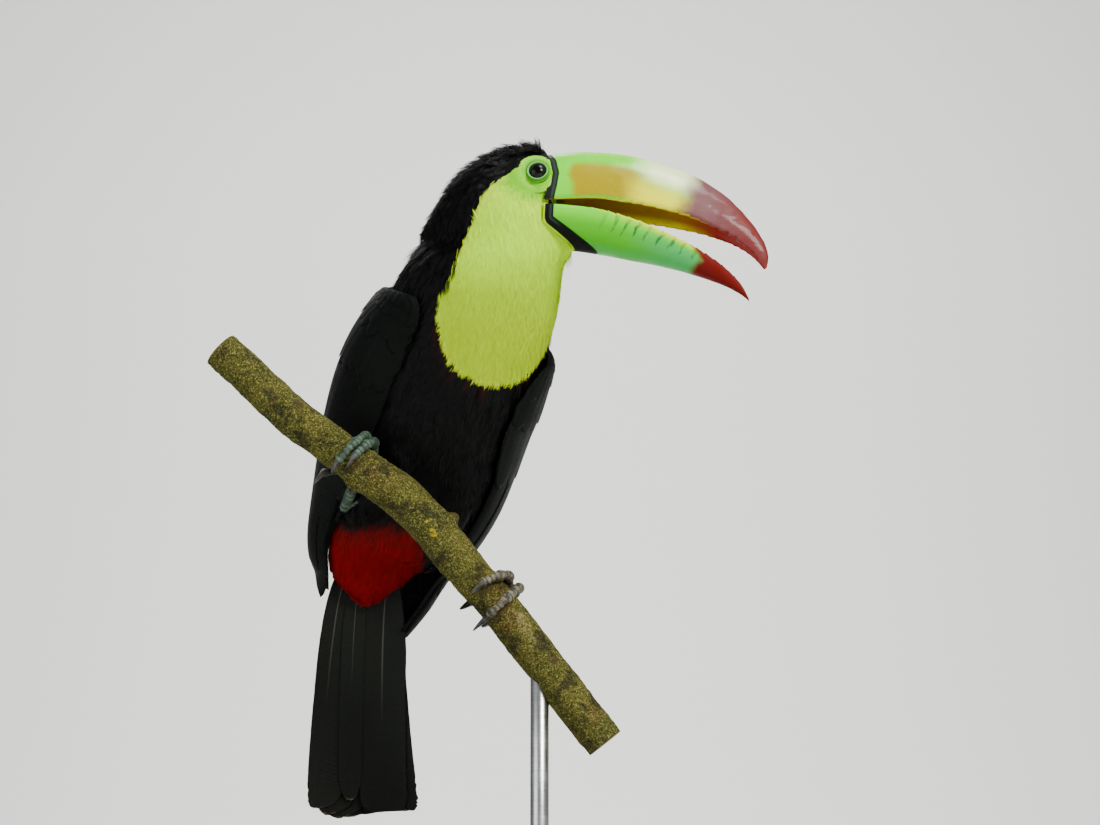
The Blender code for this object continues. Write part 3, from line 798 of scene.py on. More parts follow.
class Graph:
    """A node tree that is written as calculations with values and colours."""

    def __init__(self, tree: Tree) -> None:
        """Keep the tree."""
        self.tree = tree

    def add(self, kind: str, inputs: Inputs | None = None, **settings: object) -> Node:
        """Add a node.

        Args:
            kind: The node's type, without its ShaderNode prefix.
            inputs: Values to link or numbers to set, by input name or number.
            **settings: The node's own settings.

        Returns:
            The node.
        """
        node = self.tree.nodes.new("ShaderNode" + kind)
        for key, value in settings.items():
            setattr(node, key, value)
        self.fill(node, inputs or {})
        return node

    def fill(self, node: Node, inputs: Inputs) -> None:
        """Link or set a node's inputs, by name or number."""
        for key, value in inputs.items():
            if isinstance(value, Value):
                self.tree.links.new(value.socket, node.inputs[key])
            elif isinstance(value, tuple) and node.inputs[key].type == "RGBA":
                node.inputs[key].default_value = (*value, 1.0)
            else:
                node.inputs[key].default_value = value

    def value(self, kind: str, inputs: Inputs | None = None, output: str | int = 0,
              **settings: object) -> Value:
        """Add a node, as add() does, and return one of its outputs."""
        return Value(self, self.add(kind, inputs, **settings).outputs[output])

    def use(self, group: Tree, inputs: Inputs) -> list[Value]:
        """Place a node group, set its inputs and return its outputs."""
        return [Value(self, s) for s in self.add("Group", inputs, node_tree=group).outputs]

    def mix(self, share: Value, a: Tint, b: Tint, way: str = "MIX") -> Value:
        """Return two colours blended."""
        return self.value("Mix", {0: share, 6: a, 7: b}, 2, data_type="RGBA", blend_type=way)

    def shade(self, share: Value, colour: Tint, by: Tint) -> Value:
        """Return a colour darkened by another."""
        return self.mix(share, colour, by, "MULTIPLY")

    def cover(self, colour: Tint, *layers: tuple[Value, Tint]) -> Tint:
        """Return a colour under layers, each a share and a colour."""
        for share, over in layers:
            colour = self.mix(share, colour, over)
        return colour

    def speckle(self, where: Value, scale: float, detail: float = 4.0, rough: float = 0.6) -> Value:
        """Return noise of 0 to 1, with features of about 1 / scale metres."""
        settings = {"Vector": where, "Scale": scale, "Detail": detail, "Roughness": rough}
        return self.value("TexNoise", settings, "Fac")

    def cells(self, where: Value, scale: float, feature: str = "F1") -> Value:
        """Return distances in a pattern of cells."""
        return self.value("TexVoronoi", {"Vector": where, "Scale": scale}, "Distance", feature=feature)

    def stretched(self, where: Value, scale: Triple) -> Value:
        """Return places stretched along the axes."""
        return self.value("Mapping", {"Vector": where, "Scale": scale})

    def place(self) -> Value:
        """Return the place on the object, in metres."""
        return self.value("TexCoord", output="Object")

    def number(self, name: str) -> Value:
        """Return a named number of the mesh."""
        return self.value("Attribute", output="Fac", attribute_name=name)

    def vector(self, name: str) -> Value:
        """Return a named vector of the mesh."""
        return self.value("Attribute", output="Vector", attribute_name=name)

    def bump(self, height: Value, distance: float, strength: float) -> Value:
        """Return a normal from heights of 0 to 1, where 1 is this distance."""
        return self.value("Bump", {"Height": height, "Distance": distance, "Strength": strength})


def start_group(name: str, inputs: Inputs, outputs: dict[str, str]) -> tuple[Graph, dict[str, Value], Node]:
    """Begin a shader node group.

    Args:
        name: Its name.
        inputs: Default values by name: a number, or three for a colour, or "vector".
        outputs: Socket kinds by name, Float, Color or Vector.

    Returns:
        Its graph, its inputs by name and its output node.
    """
    tree = bpy.data.node_groups.new(name, "ShaderNodeTree")
    for key, value in inputs.items():
        kind = "Vector" if value == "vector" else "Color" if isinstance(value, tuple) else "Float"
        made = tree.interface.new_socket(key, in_out="INPUT", socket_type="NodeSocket" + kind)
        if kind != "Vector":
            made.default_value = (*value, 1.0) if kind == "Color" else value
    for key, kind in outputs.items():
        tree.interface.new_socket(key, in_out="OUTPUT", socket_type="NodeSocket" + kind)
    graph, given = Graph(tree), tree.nodes.new("NodeGroupInput").outputs
    return graph, {key: Value(graph, given[key]) for key in inputs}, tree.nodes.new("NodeGroupOutput")


def make_plumage_group() -> Tree:
    """Make the group that turns the markings and a barb's own numbers into colour, with painted shade
    towards each barb's root and a painted lit rim at the bib's fringe.
    """
    graph, given, end = start_group("plumage_colour", {
        "Marks": "vector", "Strand": "vector", "Bare": 0.0, "Black": (0.01, 0.01, 0.01),
        "Yellow": (0.5, 0.6, 0.1), "Lower Yellow": (0.4, 0.5, 0.05), "Lit Fringe": (0.8, 0.9, 0.3),
        "Red": (0.3, 0.0, 0.0), "White": (0.8, 0.8, 0.7), "Bare Skin": (0.3, 0.7, 0.05)},
        {"Colour": "Color", "Paleness": "Float"})
    bib, red, white = given["Marks"].split()
    tone, tip, strand = given["Strand"].split()
    place = graph.place()
    low = (place.split()[2] + graph.speckle(place, 90, 3) * 0.03).between(0.335, 0.285)
    yellow = graph.mix(low, given["Yellow"], given["Lower Yellow"])
    yellow = graph.shade((tone * 0.5 + strand) * 0.06, yellow, (0.45, 0.5, 0.25))
    # painted shade: yellow barbs darker towards their roots, where the coat shades itself; the skin under
    # the coat takes the full amount
    yellow = graph.shade((1.0 - tip) * 0.15, yellow, (0.45, 0.5, 0.2))
    # painted light: the bib's fringe is painted paler, as if lit through its thin barbs
    yellow = graph.cover(yellow, (bib.between(0.98, 0.78) * 0.5, given["Lit Fringe"]),
                         (given["Bare"], given["Bare Skin"]))
    red_shade = graph.shade(strand * 0.6, given["Red"], (0.4, 0.3, 0.3))
    colour = graph.cover(given["Black"], (bib.between(0.30, 0.45), yellow), (red, red_shade),
                         (white, given["White"]))
    graph.fill(end, {"Colour": colour, "Paleness": bib.math("MAXIMUM", red.math("MAXIMUM", white))})
    return graph.tree


def make_barb_group() -> Tree:
    """Make the group that draws barbs, as heights, slanting off a large feather's shaft."""
    graph, given, end = start_group(
        "barb_lines", {"Vane": "vector", "Barbs": 300.0}, {"Height": "Float", "Shaft": "Float"})
    across, down, tone = given["Vane"].split()
    slanted = down - abs(across) * 0.06
    spot = graph.value("CombineXYZ", {0: slanted * 40.0, 1: across, 2: tone})
    waves = ((slanted + graph.speckle(spot, 3.0, 2) * 0.004) * given["Barbs"]).math("SINE")
    graph.fill(end, {"Height": waves, "Shaft": abs(across).between(0.045, 0.02)})
    return graph.tree


def make_wear_group() -> Tree:
    """Make the group that gives fine dust and wandering wear, as two masks."""
    graph, given, end = start_group(
        "wear_and_dust", {"Place": "vector", "Scale": 60.0, "Amount": 0.5},
        {"Wear": "Float", "Dust": "Float"})
    scaled = graph.value("VectorMath", {0: given["Place"], "Scale": given["Scale"]}, operation="SCALE")
    wear = graph.speckle(scaled, 1.0, 5, 0.65).between(0.42, 0.72) * given["Amount"]
    dust = graph.speckle(scaled, 9.0, 3, 0.7).between(0.5, 0.8) * given["Amount"]
    graph.fill(end, {"Wear": wear, "Dust": dust})
    return graph.tree


@dataclass(frozen=True)
class Finish:
    """The start of every finish: its name and the shader's plain numbers."""

    name: str
    roughness: float = 0.5
    metallic: float = 0.0
    specular: float = 0.5
    coat: float = 0.0
    coat_roughness: float = 0.1
    sheen: float = 0.0
    sheen_roughness: float = 0.4
    sheen_tint: Colour = (1.0, 1.0, 1.0)
    ior: float = 1.5

    def make(self, group: Tree | None = None) -> Material:
        """Make the material.

        Args:
            group: The node group that it uses.

        Returns:
            The material.
        """
        made = bpy.data.materials.new(self.name)
        made.use_nodes = True
        graph, shader = Graph(made.node_tree), made.node_tree.nodes["Principled BSDF"]
        graph.fill(shader, {
            "Roughness": self.roughness, "Metallic": self.metallic, "IOR": self.ior,
            "Specular IOR Level": self.specular, "Coat Weight": self.coat,
            "Coat Roughness": self.coat_roughness, "Sheen Weight": self.sheen,
            "Sheen Roughness": self.sheen_roughness, "Sheen Tint": self.sheen_tint})
        graph.fill(shader, self.surface(graph, group))
        return made

    def surface(self, graph: Graph, group: Tree | None) -> Inputs:
        """Return what feeds the shader and changes over the surface."""
        return {}


@dataclass(frozen=True)
class PlumageFinish(Finish):
    """Small feathers and the skin under them, with the bird's markings, a painted lit fringe round the bib
    and painted shade towards the barbs' roots.
    """

    black: Colour = (0.0020, 0.0020, 0.0021)
    yellow: Colour = (0.63, 0.99, 0.002)
    lower_yellow: Colour = (0.50, 0.70, 0.0)
    # painted light: paler yellow for the lit fringe round the bib
    lit_fringe: Colour = (0.80, 0.99, 0.05)
    red: Colour = (0.27, 0.0, 0.0)
    white: Colour = (0.80, 0.77, 0.66)
    bare_skin: Colour = (0.20, 0.64, 0.0)

    def surface(self, graph: Graph, group: Tree) -> Inputs:
        """Return what feeds the shader, from the plumage group."""
        colour, paleness = graph.use(group, {
            "Marks": graph.vector("marks"), "Strand": graph.vector("strand"), "Bare": graph.number("bare"),
            "Black": self.black, "Yellow": self.yellow, "Lower Yellow": self.lower_yellow,
            "Lit Fringe": self.lit_fringe, "Red": self.red, "White": self.white, "Bare Skin": self.bare_skin})
        folds = graph.cells(graph.place(), 900.0)
        return {"Base Color": colour, "Roughness": paleness * 0.25 + 0.48,
                "Normal": graph.bump(folds, 0.00015, 0.6)}


@dataclass(frozen=True)
class VaneFinish(Finish):
    """Large feathers, with barbs and a shaft."""

    colour: Colour = (0.0025, 0.0033, 0.0027)
    edge: Colour = (0.0044, 0.0056, 0.0047)
    shaft: Colour = (0.004, 0.004, 0.004)
    shaft_end: float = 1.0         # how far down the shaft is pale
    worn: Colour = (0.0034, 0.0038, 0.0042)       # of the barbs' worn ends
    barbs: float = 420.0

    def surface(self, graph: Graph, group: Tree) -> Inputs:
        """Return what feeds the shader, from the barb group."""
        vane, place = graph.vector("vane"), graph.place()
        height, shaft = graph.use(group, {"Vane": vane, "Barbs": self.barbs})
        across, down, tone = vane.split()
        patches = graph.speckle(place, 120, 4)
        pale = shaft * down.between(self.shaft_end + 0.15, self.shaft_end - 0.15)
        worn = down.between(0.975, 0.995) * graph.speckle(place, 900, 2).between(0.42, 0.58)
        colour = graph.cover(self.colour, ((patches + tone) * 0.5, self.edge),
                             (abs(across).between(0.7, 1.0) * 0.2, self.edge), (pale, self.shaft),
                             (worn, self.worn))
        return {"Base Color": colour, "Roughness": patches * 0.2 + (self.roughness - 0.1),
                "Normal": graph.bump(height, 0.00006, 0.7)}


# ---------------------------------------------------------------------------------- large feathers

class Surface:
    """A surface that large feathers lie on, with two coordinates and a lift off it."""

    def at(self, a: Array, b: Array, layer: Array, off: Array = 0.0) -> Array:
        """Return points of the surface, on a layer over it and then off that by a distance."""
        raise NotImplementedError


@dataclass(frozen=True)
class Vane:
    """The shape of a large feather."""

    half_width: float
    thickness: float = 0.30 * MM
    narrow_side: float = 1.0       # width of the leading side,
    wide_side: float = 1.0         # and of the trailing side, of the half width
    rounding: float = 0.24         # share of the length that the rounded end takes
    root_width: float = 0.45       # width at the root, of the full width
    slant: float = 0.9             # how far the barbs sweep towards the tip, of their length
    fray: float = 0.02             # how ragged the outline is, of the half width,
    ragged_tip: float = 0.0        # and the tip, as a distance
    dome: float = 0.35 * MM        # how far its middle stands over its edges,
    shaft: float = 0.22 * MM       # and the shaft over the middle
    stations: int = 22
    columns: int = 9


class Feathers:
    """A run of large feathers that become one mesh."""

    def __init__(self, surface: Surface, seed: int, map_corner: tuple[float, float]) -> None:
        """Start with no feathers.

        Args:
            surface: What they lie on.
            seed: Number that sets their small differences.
            map_corner: Where their unwrap begins on the map for baking.
        """
        self.surface, self.rng, self.cast = surface, np.random.default_rng(seed), Cast()
        self.map_corner = np.array(map_corner)

    def add(self, vane: Vane, start: Triple, end: Triple,
            width_span: float, bow: float = 0.0) -> None:
        """Add a feather.

        Args:
            vane: Its shape.
            start: Coordinates and lift of its root.
            end: Coordinates and lift of its tip.
            width_span: What one metre sideways is in the second coordinate.
            bow: How far its middle bends sideways, in the second coordinate.
        """
        rng = self.rng
        t = np.linspace(0, 1, vane.stations)[:, None]
        s = np.linspace(-1, 1, vane.columns)[None, :]
        t = 1 - (1 - t) ** 1.25
        open_out = vane.root_width + (1 - vane.root_width) * ease(0.0, 0.4, t)
        end_round = np.sqrt(np.clip(1 - (np.clip(t - (1 - vane.rounding), 0, 1) / vane.rounding) ** 2, 0, 1))
        width = vane.half_width * open_out * (0.06 + 0.94 * end_round)
        side = np.where(s < 0, vane.narrow_side, vane.wide_side)
        ragged = rng.normal(0, 1, (vane.stations, vane.columns)) * (np.abs(s) > 0.95)
        torn = 0.11 * vane.ragged_tip * ragged * ease(1 - vane.rounding, 1 - 0.4 * vane.rounding, t)
        aside = s * width * side * (1 + vane.fray * ragged) + torn
        start, end = np.array(start), np.array(end)
        reach = t - np.abs(s) * (vane.slant * width / self.length(start, end)) * (t - 1) * -0.35
        short = vane.ragged_tip / self.length(start, end) * rng.uniform(0, 1, (1, vane.columns))
        reach = np.clip(reach - 0.02 * (np.abs(s) ** 2) * end_round - short * ease(0.96, 1.0, t), 0.0, 1.0)
        a = start[0] + (end[0] - start[0]) * reach
        b = start[1] + (end[1] - start[1]) * reach + bow * np.sin(reach * math.pi) + aside * width_span
        lift = start[2] + (end[2] - start[2]) * reach
        dome = vane.dome * (1 - s * s) * np.ones_like(t)
        ridge = vane.shaft * (np.abs(s) < 0.05) * (1 - 0.8 * t)
        thick = vane.thickness * (1 - 0.85 * np.abs(s)) * (1 - 0.6 * t)
        upper = self.surface.at(a, b, lift, dome + ridge)
        lower = self.surface.at(a, b, lift, dome - thick - ridge)
        rings = np.concatenate((upper, lower[:, -2:0:-1]), axis=1)
        points, faces = tube(rings)
        tone = rng.random()
        vane_value = np.empty(rings.shape)
        across = np.broadcast_to(s, (vane.stations, vane.columns))
        vane_value[..., 0] = np.concatenate((across, across[:, -2:0:-1]), axis=1)
        vane_value[..., 1] = t * np.ones(rings.shape[1])
        vane_value[..., 2] = tone
        ends = np.array([[0, 0, tone], [0, 1, tone]])
        value = np.concatenate((vane_value.reshape(-1, 3), ends))
        local = np.stack((value[:, 0] / 2 + 0.5, value[:, 1]), 1)
        corner = self.map_corner + np.array([start[1] % 1.0, start[0] / 20]) * 0.4
        self.cast.add(points, faces, patches=corner + local * PATCH * 8, vane=value)

    def length(self, start: Array, end: Array) -> float:
        """Return the distance from root to tip."""
        ends = self.surface.at(np.array([start[0], end[0]]), np.array([start[1], end[1]]), np.zeros(2))
        return float(np.linalg.norm(ends[1] - ends[0]))


@dataclass
class WingForm(Surface):
    """The side of the body that the folded wing lies on: place down the wing, share from its edge."""

    body: Body
    side: int
    gap: float = 1.0 * MM
    tilt: float = 0.40             # how much higher the right shoulder's fore edge is, in levels,
    drop: float = 0.30             # and how much lower the left shoulder sits
    # Body level, fore and rear edge (degrees round the body) and thickness (mm), from the shoulder
    strips: Table = (
        (5.24, 66, 106, 1.4), (5.13, 54, 121, 3.4), (4.84, 49, 134, 5.6), (4.20, 43, 148, 7.2),
        (3.50, 45, 160, 6.2), (2.70, 48, 160, 5.4), (1.90, 54, 148, 4.6), (1.20, 52, 134, 3.6),
        (0.60, 52, 136, 2.8), (0.20, 50, 132, 2.2))
    left_rear: tuple[float, ...] = (156, 160, 164, 166)     # rear edge of the left wing's last strips

    def at(self, a: Array, b: Array, layer: Array, off: Array = 0.0) -> Array:
        """Return points: a is the strip, b the share across it, layer 0 under to 1 over the wing."""
        table = np.array(self.strips)
        if self.side > 0:
            table[-4:, 2] = self.left_rear
        level, fore, rear, thickness = np.moveaxis(read_along(table, a), -1, 0)
        share = np.clip(b, 0.0, 1.0)
        level = level + (self.tilt * (0.5 - share) if self.side < 0 else -self.drop) * ease(3.0, 0.0, a)
        swell = np.clip(4 * share * (1 - share), 0, 1) ** 0.55
        depth = np.maximum(thickness * swell, 0.9) * MM
        turn = self.side * (fore + (rear - fore) * b)
        return self.body.point(level, turn, self.gap + depth * layer + off)


@dataclass(frozen=True)
class Row:
    """A row of feathers across the wing."""

    count: int
    root: float                # strip of the roots
    tip: float                 # strip of the tips
    first: float               # share across the wing of the first feather's root
    last: float                # and of the last one's
    half_width: float
    lift: float                # 0 to 1 through the wing's thickness
    first_tip: float           # share across of the first feather's tip
    last_tip: float
    last_tip_strip: float | None = None
    rounding: float = 0.35


@dataclass
class Wing:
    """A folded wing: flight feathers, and rows of coverts over their roots."""

    side: int
    body: Body
    rows: tuple[Row, ...] = (
        Row(11, 4.2, 7.85, 0.42, 0.10, 9.0 * MM, 0.60, 0.36, 0.22, 8.25, 0.34),
        Row(10, 3.0, 7.1, 0.30, 0.92, 9.0 * MM, 0.68, 0.22, 0.93, 5.2, 0.26),
        Row(11, 2.2, 4.3, 0.07, 0.95, 7.4 * MM, 0.75, 0.06, 0.95, 3.9),
        Row(13, 1.55, 3.15, 0.05, 0.96, 6.2 * MM, 0.82, 0.05, 0.96),
        Row(14, 1.10, 2.35, 0.06, 0.95, 5.0 * MM, 0.88, 0.05, 0.96),
        Row(13, 0.72, 1.75, 0.07, 0.94, 4.2 * MM, 0.92, 0.05, 0.95),
        Row(12, 0.40, 1.25, 0.08, 0.93, 3.6 * MM, 0.95, 0.06, 0.94),
        Row(9, 0.16, 0.85, 0.10, 0.92, 3.0 * MM, 0.98, 0.08, 0.93),
        Row(6, 0.00, 0.48, 0.15, 0.88, 2.6 * MM, 1.0, 0.10, 0.9),
    )
    left_rows: tuple[Row, ...] = (      # the left wing's flight feathers, and those seen from below
        Row(13, 4.2, 8.95, 0.30, 0.92, 9.0 * MM, 0.60, 0.24, 0.82, 8.65, 0.30),
        Row(9, 4.6, 8.8, 0.40, 0.95, 7.5 * MM, -0.12, 0.28, 0.78, 8.45, 0.26),
    )

    def build(self, name: str, node: str, finish: Material) -> None:
        """Make the wing.

        Args:
            name: The piece's name.
            node: The node that it stands for.
            finish: The large feathers' material.
        """
        form = WingForm(self.body, self.side)
        feathers = Feathers(form, 40 + self.side, (0.02, 0.02) if self.side > 0 else (0.5, 0.5))
        self.bed(form, feathers)
        for row in (*(self.left_rows if self.side > 0 else self.rows[:1]), *self.rows[1:]):
            for i in range(row.count):
                share = i / (row.count - 1)
                jitter = feathers.rng.normal(0, 0.006, 2)
                tip_strip = row.tip + ((row.last_tip_strip or row.tip) - row.tip) * share
                tip_strip += feathers.rng.uniform(-0.13, 0.13) * (row.root < 2)
                root = row.root + 0.05 * (i % 2)
                first = row.first + (row.last - row.first) * share + jitter[0]
                tip = row.first_tip + (row.last_tip - row.first_tip) * share + jitter[1]
                step = 0.03 * share
                half_width = row.half_width * feathers.rng.uniform(0.94, 1.06)
                fray, thickness = (0.02, 0.30 * MM) if row.root > 2 else (0.07, 0.16 * MM)
                stations, columns = (24, 9) if row.count < 11 else (14, 7)
                shape = Vane(half_width, thickness, 0.8, rounding=row.rounding, fray=fray, stations=stations,
                             columns=columns)
                feathers.add(shape, (root, first, row.lift - 0.10 + step),
                             (tip_strip, tip, row.lift + 0.02 - step),
                             self.span(form, (row.root + tip_strip) / 2))
        piece = feathers.cast.build(name, finish)
        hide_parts(node)

    def span(self, form: WingForm, strip: float) -> float:
        """Return how much of the wing's width one metre is, at a strip."""
        ends = form.at(np.array([strip, strip]), np.array([0.2, 0.8]), np.zeros(2))
        return 0.6 / float(np.linalg.norm(ends[1] - ends[0]))

    def bed(self, form: WingForm, feathers: Feathers) -> None:
        """Add the closed body of down and bone under the feathers."""
        left = self.side > 0
        share = np.linspace(-0.47, 0.47, 18)[None, :]
        a = np.linspace(0.006, 1.0, 48)[:, None] * (8.5 if left else 7.8)
        b = 0.02 + (share + 0.47) * (1 - (0.0 if left else 0.5) * ease(5.6, 7.6, a))
        fade = 1 - 0.55 * ease(4.5, 8.0, a)
        upper = form.at(a, b, 0.62 * fade)
        lower = form.at(a, b, 0.02 + 0 * fade)
        rings = np.concatenate((upper, lower[:, ::-1]), axis=1)
        points, faces = tube(rings)
        value = np.tile([0.5, 0.5, 0.5], (len(points), 1))
        feathers.cast.add(points, faces, patches=np.full((len(points), 2), 0.95), vane=value)


@dataclass
class TailSurface(Surface):
    """The tail's middle surface, with sideways distances in millimetres."""

    form: TailForm

    def at(self, a: Array, b: Array, layer: Array, off: Array = 0.0) -> Array:
        """Return points: a is the place down the tail, b the way sideways and layer behind, in mm."""
        return self.form.point(a, b * MM, layer * MM + off)


@dataclass
class Tail:
    """Ten tail feathers, which overlap like tiles, two of them slipped in front of the others."""

    form: TailForm
    pairs: int = 4
    half_width: float = 10.8 * MM
    root_place: float = 0.9
    tip_places: tuple[float, ...] = (7.35, 7.30, 7.05, 6.60)
    root_side: tuple[float, float] = (1.6, 7.6)          # sideways place of the inner and outer root, mm
    tip_side: tuple[float, float] = (5.5, 24.6)
    lifts: tuple[float, float] = (1.55, -1.0)            # behind the middle surface, inner to outer, mm
    # A pair that has slipped in front of the others: tip's place and side, half width and lift, in mm
    slipped: Table = ((7.12, 11.0, 12.2, -1.75), (6.0, -6.5, 6.2, -1.95))

    def build(self, finish: Material) -> None:
        """Make the tail.

        Args:
            finish: The large feathers' material.
        """
        feathers = Feathers(TailSurface(self.form), 77, (0.02, 0.02))
        for pair in range(self.pairs):
            share = pair / (self.pairs - 1)
            for side in (-1, 1):
                lift = self.lifts[0] + (self.lifts[1] - self.lifts[0]) * share + 0.16 * side
                root = side * (self.root_side[0] + (self.root_side[1] - self.root_side[0]) * share)
                root -= 4.5 * share * (side < 0)
                tip = side * (self.tip_side[0] + (self.tip_side[1] - self.tip_side[0]) * share)
                outer, inner = 1 - 0.38 * share, 1 + 0.38 * share
                shape = Vane(self.half_width, thickness=0.32 * MM, narrow_side=inner if side > 0 else outer,
                             wide_side=outer if side > 0 else inner, rounding=0.13 + 0.20 * share,
                             root_width=0.70, fray=0.006, ragged_tip=2.4 * MM, stations=64, columns=25)
                feathers.add(shape, (self.root_place, root, lift),
                             (self.tip_places[pair] + 0.05 * side, tip, lift - 0.2), 1 / MM,
                             bow=side * 0.3)
        for tip, aside, half_width, lift in self.slipped:
            shape = Vane(half_width * MM, thickness=0.32 * MM, rounding=0.2, root_width=0.5, fray=0.006,
                         ragged_tip=1.6 * MM, stations=64, columns=25)
            feathers.add(shape, (self.root_place, aside * 0.8, lift + 0.4), (tip, aside, lift), 1 / MM)
        piece = feathers.cast.build("tail_feathers", finish)
        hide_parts("tail")


# -------------------------------------------------------------------------------------------- head

class Jaw(Enum):
    """The halves of the bill."""

    UPPER = "upper"
    LOWER = "lower"


@dataclass
class Mandible:
    """One half of the bill: a keeled arch of horn with a toothed cutting edge and a hollow inside."""

    jaw: Jaw
    head: Head
    # Ridge reach and height, cutting edge reach and height, half width (mm)
    rows: Table
    fullness: float
    rings: int = 190
    outer: int = 56
    inner: int = 22
    shell: float = 1.1             # thickness of the horn at the edge, mm
    tooth_depth: float = 1.8       # mm
    teeth: int = 25
    hollow: float = 0.42           # how far the inside is hollowed, of the height

    def build(self, finish: Material) -> None:
        """Make this half of the bill.

        Args:
            finish: The horn's material.
        """
        rng = np.random.default_rng(5 if self.jaw is Jaw.UPPER else 6)
        place = np.linspace(0, 1, self.rings) ** 0.92 * (len(self.rows) - 1)
        ridge_u, ridge_v, edge_u, edge_v, half = np.moveaxis(read_along(np.array(self.rows), place), -1, 0)
        along = np.linspace(0, 1, self.rings)
        rows = []
        values = []
        down = 1 if self.jaw is Jaw.UPPER else -1
        teeth = {}
        for side in (-1, 1):
            phase = np.cumsum(rng.uniform(0.6, 1.4, self.rings)) / self.rings * self.teeth
            saw = phase % 1.0
            size = 0.4 + 0.6 * np.sin(np.floor(phase) * 2.4 + side) ** 2
            teeth[side] = saw * size * ease(0.18, 0.3, along) * ease(1.0, 0.8, along) * self.tooth_depth
        turn = np.linspace(0, math.pi, self.outer)
        rise = np.sin(turn) ** self.fullness
        for i in range(self.outer):
            side = 1 if turn[i] < math.pi / 2 else -1
            nib = teeth[side] * max(0.0, 1 - rise[i] * 9)
            u = edge_u + (ridge_u - edge_u) * rise[i]
            v = edge_v + (ridge_v - edge_v) * rise[i] + down * nib
            rows.append(self.head.point(u, v, half * np.cos(turn[i])))
            values.append(np.stack((u, v, np.full_like(u, rise[i])), -1))
        for share in np.linspace(-1, 1, self.inner):
            side = 1 if share > 0 else -1
            narrow = np.clip(half - self.shell * ease(0, 6, half), 0.15, None)
            arch = self.hollow * (1 - abs(share) ** 2.2)
            u = edge_u + (ridge_u - edge_u) * arch
            v = edge_v + (ridge_v - edge_v) * arch + down * (teeth[side] * 0.3 if abs(share) > 0.97 else 0.0)
            v = v + (edge_v - ridge_v) * 0.012
            rows.append(self.head.point(u, v, narrow * share))
            values.append(np.stack((u, v, np.full_like(u, -1.0 + abs(share) * 0.5)), -1))
        rings = np.stack(rows, 1)
        value = np.stack(values, 1)
        reach, height, out = self.head.read(rings)
        limit = self.head.base_reach(height) + 0.35
        drawn = self.head.point(np.maximum(reach, limit - 2.2), height, out)
        rings = np.where((reach < limit)[..., None], drawn, rings)
        growth = noise_at(np.stack((reach / 14, height / 5, out / 6), -1) * MM * 10, 10 * MM, 3)
        swell = growth * 0.16 * ease(-0.2, 0.3, value[..., 2])
        normal = self.outward(rings)
        rings = rings + normal * (swell * MM)[..., None]
        points, faces = tube(rings if self.jaw is Jaw.UPPER else rings[:, ::-1])
        if self.jaw is Jaw.LOWER:
            value = value[:, ::-1]
        reach, height, out = self.head.read(points)
        flat = np.concatenate((value.reshape(-1, 3), value[[0, -1]].mean(axis=1)))
        horn = np.stack((reach, self.head.past_band(reach, height), flat[:, 2]), 1)
        cast = Cast()
        cast.add(points, faces, horn=horn)
        piece = cast.build("bill_" + self.jaw.value + "_horn", finish)
        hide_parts("bill_" + self.jaw.value)

    def outward(self, rings: Array) -> Array:
        """Return rough outward directions of rings of points."""
        return unit(rings - rings.mean(axis=1, keepdims=True))


